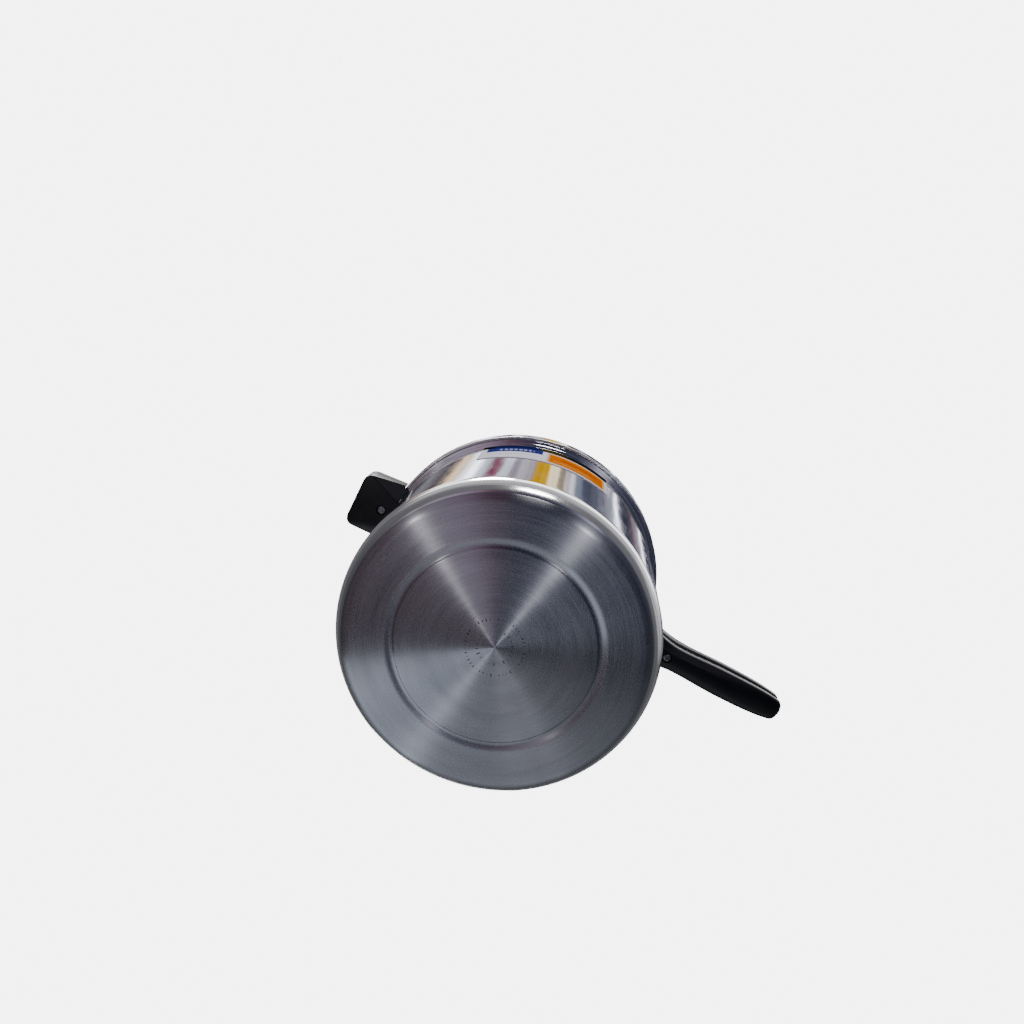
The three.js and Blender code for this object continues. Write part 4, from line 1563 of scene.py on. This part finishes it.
@dataclass
class Studio:
    """The pale floor, the soft lights, the surroundings that the metal mirrors, and the camera."""

    eye: Point3 = (-0.0493, -0.2433, -0.6025)
    right: Point3 = (0.88743, -0.45212, 0.08972)
    down: Point3 = (0.46023, 0.85833, -0.22685)
    ahead: Point3 = (0.02556, 0.24261, 0.96979)
    lens: float = 32.42
    wall_radius: float = 0.118
    first_column: float = -176.0
    change_height: float = 0.156
    base_gain: float = 1.7
    backdrop: float = 6.0
    low_spread: float = 0.7
    low_distance: float = 1.6
    high_lamps: tuple[tuple[str, Point3, float, float, Colour], ...] = (
        ("key", (-0.75, -0.9, 1.75), 0.5, 16.0, (1.0, 0.98, 0.96)),
        ("fill", (1.6, -0.6, 1.1), 1.4, 1.5, (0.96, 0.98, 1.0)),
        ("rear", (0.2, 1.7, 1.4), 1.0, 14.0, (1.0, 1.0, 1.0)),
        ("front", (-0.35, -1.5, 0.2), 0.45, 8.0, (1.0, 1.0, 1.0)),
    )
    low_lamps: tuple[tuple[str, float, float, float], ...] = (
        ("low_a", -147.5, 0.04, 0.75), ("low_c", -80.0, 0.08, 0.8),
    )
    sectors: Bands = (
        (-180, (66, 58, 62)), (-160, (74, 66, 72)), (-151, (104, 98, 104)), (-148, (150, 146, 154)),
        (-145, (110, 104, 112)), (-139, (124, 118, 130)), (-128, (112, 100, 114)), (-118, (62, 46, 56)),
        (-108, (32, 32, 44)), (-90, (34, 36, 48)), (-85, (90, 90, 102)), (-80, (150, 150, 162)),
        (-75, (66, 66, 78)), (-68, (32, 34, 46)), (-40, (28, 30, 40)), (-20, (36, 37, 43)), (0, (84, 87, 91)),
        (33, (106, 110, 116)), (36, (150, 154, 160)), (39, (116, 120, 126)), (50, (136, 140, 146)),
        (70, (122, 126, 132)), (95, (128, 132, 138)), (98, (176, 182, 190)), (104, (176, 182, 190)),
        (108, (146, 152, 160)), (145, (166, 172, 180)), (149, (62, 56, 60)), (180, (66, 58, 62)),
    )
    low_cards: tuple[Bands, ...] = (
        (
            (-176, (58, 58, 64)), (-163, (84, 80, 82)), (-161.0, (56, 55, 62)),
            (-159.2, (96, 94, 98)), (-156.8, (76, 74, 80)), (-153.8, (58, 56, 62)),
            (-150.6, (104, 102, 108)), (-147.8, (136, 134, 140)), (-144.8, (108, 106, 114)),
            (-141.8, (82, 78, 84)), (-139.2, (118, 112, 112)), (-137.0, (90, 80, 76)),
            (-135.8, (226, 200, 172)), (-133.0, (190, 170, 152)), (-131.4, (214, 210, 212)),
        ),
        (
            (-130.2, (196, 200, 212)), (-128.8, (228, 232, 244)), (-125.6, (180, 186, 200)),
            (-122.0, (150, 112, 128)), (-121.2, (110, 50, 72)), (-118.6, (160, 124, 138)),
            (-118.0, (112, 58, 76)), (-117.2, (192, 192, 206)), (-113.8, (148, 140, 152)),
            (-111.0, (172, 166, 176)), (-107.4, (158, 152, 158)), (-105.4, (190, 150, 20)),
            (-100.2, (214, 202, 172)), (-96.8, (150, 138, 126)), (-94.2, (190, 182, 184)),
        ),
        (
            (-92.0, (200, 202, 214)), (-90.4, (120, 126, 142)), (-87.4, (74, 76, 92)),
            (-83.5, (90, 92, 106)), (-80.5, (116, 116, 128)), (-77.0, (148, 150, 162)),
            (-72.4, (236, 236, 248)), (-71.3, (34, 34, 48)), (-65.0, (76, 74, 82)),
            (-63.0, (120, 70, 84)), (-62.0, (138, 136, 144)), (-58.4, (158, 156, 168)),
            (-56.8, (236, 236, 248)), (-55.6, (62, 62, 74)), (-49, (102, 106, 118)),
            (-45, (70, 64, 70)),
        ),
    )
    high_cards: tuple[Bands, ...] = (
        (
            (-176, (44, 44, 48)), (-160, (120, 116, 118)), (-157, (60, 58, 60)),
            (-153, (134, 124, 112)), (-150, (72, 68, 70)), (-146, (160, 140, 112)),
            (-143, (92, 86, 80)), (-140, (190, 172, 142)), (-137.5, (120, 104, 86)),
            (-135, (222, 206, 180)), (-132.4, (220, 226, 240)),
        ),
        (
            (-128, (196, 204, 220)), (-125.6, (58, 62, 74)), (-118.8, (214, 216, 230)),
            (-115, (150, 142, 150)), (-111.5, (188, 184, 194)), (-107, (150, 144, 152)),
            (-104.6, (216, 178, 30)), (-101.4, (200, 190, 150)), (-98.6, (228, 222, 214)),
            (-96.2, (66, 68, 74)),
        ),
        (
            (-91, (150, 156, 170)), (-87, (74, 78, 90)), (-80, (116, 122, 134)),
            (-75, (228, 230, 242)), (-73, (66, 68, 80)), (-66, (44, 44, 54)),
            (-60, (214, 214, 228)), (-57, (96, 98, 110)), (-53, (52, 52, 60)),
            (-49.5, (196, 196, 210)), (-47, (60, 60, 68)),
        ),
    )

    def camera(self) -> None:
        """Sets the camera below the base."""
        data = bpy.data.cameras.new("camera")
        data.sensor_width = 36.0
        data.lens = self.lens
        data.clip_start = 0.01
        made = added("camera", data)
        columns = (Vector(self.right), -Vector(self.down), -Vector(self.ahead))
        turn = Matrix([[column[i] for column in columns] for i in range(3)])
        made.matrix_world = Matrix.Translation(self.eye) @ turn.to_4x4()
        bpy.context.scene.camera = made

    def azimuth(self, angle: float) -> float:
        """Returns the azimuth in degrees that the wall mirrors at an angle."""
        turn = math.radians(angle)
        out = Vector((math.cos(turn), math.sin(turn)))
        sight = out * self.wall_radius - Vector(self.eye[:2])
        seen = sight - out * 2 * sight.dot(out)
        return math.degrees(math.atan2(seen.y, seen.x))

    def mirrored(self, angle: float) -> float:
        """Returns where the wall at an angle looks, as a share of a turn from its first column's look."""
        return ((self.azimuth(angle) - self.azimuth(self.first_column)) % 360.0) / 360.0

    def cards(self, bands: Bands, soft: float) -> list[tuple[float, Colour]]:
        """Returns ramp stops for cards overhead.

        Args:
            bands: pairs of the wall angle where a card starts and its display colour.
            soft: how far a card's edge is blurred, in degrees of wall.

        Returns:
            The stops, two for each card.
        """
        stops: list[tuple[float, Colour]] = []
        for i, (start, colour) in enumerate(bands):
            if i:
                stops.append((self.mirrored(start - soft), shown(*bands[i - 1][1])))
            stops.append((self.mirrored(start + soft) if i else 0.0, shown(*colour)))
        return stops

    def world(self) -> None:
        """Builds the surroundings: plain and pale, with cards overhead and below."""
        world = bpy.data.worlds.new("studio")
        bpy.context.scene.world = world
        world.use_nodes = True
        graph = Graph(world.node_tree)
        way = graph.node("ShaderNodeTexCoord").outputs["Generated"]
        x, y, z = graph.split(way)
        over = self.overhead(graph, x, y, z)
        below = self.underneath(graph, x, y)
        away = graph.ease(y, -0.6, 0.5)
        side = graph.blend(away, (0.15, 0.15, 0.16), (0.07, 0.075, 0.08))
        overcast = graph.blend(graph.ease(y, -0.35, 0.0), (0.55, 0.55, 0.57), (0.17, 0.165, 0.18))
        side = graph.blend(graph.ease(z, 0.25, 0.6), side, overcast)
        collar = graph.times(graph.ease(z, 0.72, 0.80), graph.ease(y, 0.0, -0.25))
        upper = graph.blend(collar, side, (2.6, 2.6, 2.65))
        low_side = graph.blend(graph.ease(y, -0.5, 0.35), (0.12, 0.12, 0.13), (0.03, 0.033, 0.036))
        plain = graph.blend(graph.ease(z, -0.25, 0.02), low_side, upper)
        lit = graph.blend(graph.ease(z, 0.90, 0.92), plain, over)
        shade = graph.blend(graph.ease(z, -0.12, -0.26), lit, below)
        direct = graph.node("ShaderNodeLightPath").outputs["Is Camera Ray"]
        seen = graph.blend(direct, shade, (1.0, 1.0, 1.0))
        strength = graph.spread(direct, 0.0, 1.0, 1.0, self.backdrop)
        back = graph.node("ShaderNodeBackground", {"Color": seen, "Strength": strength})
        graph.node("ShaderNodeOutputWorld", {"Surface": back.outputs[0]})

    def overhead(
        self, graph: Graph, x: Socket, y: Socket, z: Socket,
    ) -> Socket:
        """Returns the cards overhead, which the wall mirrors as upright bands.

        Args:
            graph: the world's nodes.
            x: the direction's X.
            y: the direction's Y.
            z: the direction's Z.

        Returns:
            Their colour.
        """
        flat = graph.math("SQRT", graph.plus(graph.times(x, x), graph.times(y, y)))
        slope = graph.math("DIVIDE", flat, z)
        turn = graph.math("DEGREES", graph.math("ARCTAN2", y, x))
        plain_share = graph.math("DIVIDE", graph.minus(turn, self.azimuth(self.first_column)), 360.0)
        ripple = graph.noise(graph.join(graph.times(slope, 60.0), x, y), 1.0, 3.0, 0.7)
        share = graph.math("FRACT", graph.plus(graph.plus(plain_share, 1.0),
                                               graph.spread(ripple, 0.0, 1.0, -0.006, 0.006)))
        lower = self.banks(graph, share, self.low_cards, 0.22)
        upper = self.banks(graph, share, self.high_cards, 0.45)
        limit = graph.ramp(share, [
            (self.mirrored(angle), (self.slope_at(angle),) * 3) for angle in range(-165, -34, 15)
        ])
        is_high = graph.ease(graph.minus(limit, slope), -0.0015, 0.0015)
        cards = graph.blend(is_high, lower, upper)
        streak = graph.noise(graph.join(graph.times(share, 90.0), graph.times(slope, 6.0), 0.0),
                             1.0, 3.0, 0.7)
        return self.shimmer(graph, cards, streak)

    @staticmethod
    def shimmer(graph: Graph, colour: Socket, streak: Socket) -> Socket:
        """Returns a colour whose brightness wanders a little along the cards."""
        gain = graph.spread(streak, 0.3, 0.7, 0.72, 1.28)
        made = graph.node("ShaderNodeVectorMath", {0: colour}, operation="SCALE")
        graph.feed(made.inputs["Scale"], gain)
        return made.outputs[0]

    def banks(
        self, graph: Graph, share: Socket, banks: Sequence[Bands], soft: float,
    ) -> Socket:
        """Joins several banks of cards into one row.

        Args:
            graph: the world's nodes.
            share: where on the row.
            banks: the banks, in order round the wall.
            soft: how far a card's edge is blurred, in degrees of wall.

        Returns:
            Their colour.
        """
        row = graph.ramp(share, self.cards(banks[0], soft))
        for bank in banks[1:]:
            after = graph.math("GREATER_THAN", share, self.mirrored(bank[0][0]))
            row = graph.blend(after, row, graph.ramp(share, self.cards(bank, soft)))
        return row

    def slope_at(self, angle: float) -> float:
        """Returns how far off the vertical the wall looks where the upper cards start."""
        turn = math.radians(angle)
        sight = Vector((math.cos(turn), math.sin(turn))) * self.wall_radius - Vector(self.eye[:2])
        return sight.length / (self.change_height - self.eye[2])

    def middle(self) -> Vector:
        """Returns the way that the middle of the base mirrors, flat on the floor."""
        sight = -Vector(self.eye)
        sight.normalize()
        return Vector((sight.x, sight.y))

    def underneath(self, graph: Graph, x: Socket, y: Socket) -> Socket:
        """Returns the dim surroundings below, which the brushed base mirrors as sectors.

        Args:
            graph: the world's nodes.
            x: the direction's X.
            y: the direction's Y.

        Returns:
            Their colour.
        """
        middle = self.middle()
        dx = graph.minus(x, middle.x)
        dy = graph.minus(y, middle.y)
        share = graph.plus(graph.math("DIVIDE", graph.math("ARCTAN2", dy, dx), 2 * math.pi), 0.5)
        stops = [((angle + 180) / 360, tuple(part * self.base_gain for part in shown(*tone)))
                 for angle, tone in self.sectors]
        return graph.ramp(share, stops)

    def lights(self) -> None:
        """Hangs the soft lights above and the lamps below."""
        for name, place, size, power, colour in self.high_lamps:
            self.lamp(name, place, size, power, colour)
        for name, angle, size, power in self.low_lamps:
            turn = math.radians(angle)
            flat = self.middle() + Vector((math.cos(turn), math.sin(turn))) * self.low_spread
            way = Vector((flat.x, flat.y, -math.sqrt(1 - flat.length_squared)))
            self.lamp(name, tuple(way * self.low_distance), size, power, (1.0, 1.0, 1.0))

    def lamp(self, name: str, place: Point3, size: float, power: float, colour: Colour) -> None:
        """Hangs a round area light that points at the cooker.

        Args:
            name: its name.
            place: where it hangs.
            size: its width.
            power: its power in watts.
            colour: its colour.
        """
        data = bpy.data.lights.new(name, "AREA")
        data.shape = "DISK"
        data.size = size
        data.energy = power
        data.color = colour
        made = added(name, data)
        aim = Vector((0.0, 0.0, 0.09)) - Vector(place)
        made.matrix_world = Matrix.Translation(place) @ aim.to_track_quat("-Z", "Y").to_matrix().to_4x4()

    def floor(self) -> None:
        """Lays the pale floor, which shows from above only."""
        shape = bmesh.new()
        bmesh.ops.create_circle(shape, cap_ends=True, segments=64, radius=4.0)
        data = bpy.data.meshes.new("floor")
        shape.to_mesh(data)
        shape.free()
        material = bpy.data.materials.new("pale_floor")
        material.use_nodes = True
        graph = Graph(material.node_tree)
        pale = graph.node("ShaderNodeBsdfDiffuse", {"Color": (0.78, 0.78, 0.77)})
        clear = graph.node("ShaderNodeBsdfTransparent")
        back = graph.node("ShaderNodeNewGeometry").outputs["Backfacing"]
        mixed = graph.node("ShaderNodeMixShader", {0: back, 1: pale.outputs[0], 2: clear.outputs[0]})
        graph.node("ShaderNodeOutputMaterial", {"Surface": mixed.outputs[0]})
        data.materials.append(material)
        made = added("floor", data)
        made.location.z = -0.0006
        for ray in ("diffuse", "glossy", "transmission", "shadow"):
            setattr(made, f"visible_{ray}", False)

    def build(self) -> None:
        """Sets up the camera, the floor, the lights and the surroundings."""
        self.camera()
        self.floor()
        self.lights()
        self.world()


def main() -> None:
    """Builds the studio and every sub-assembly in order."""
    logging.basicConfig(level=logging.INFO, format="%(name)s: %(message)s")
    for part in (Studio(), Pot(), Handles(), Lid(), Regulator()):
        part.build()
        LOG.info("%s built", type(part).__name__)


if __name__ == "__main__":
    main()
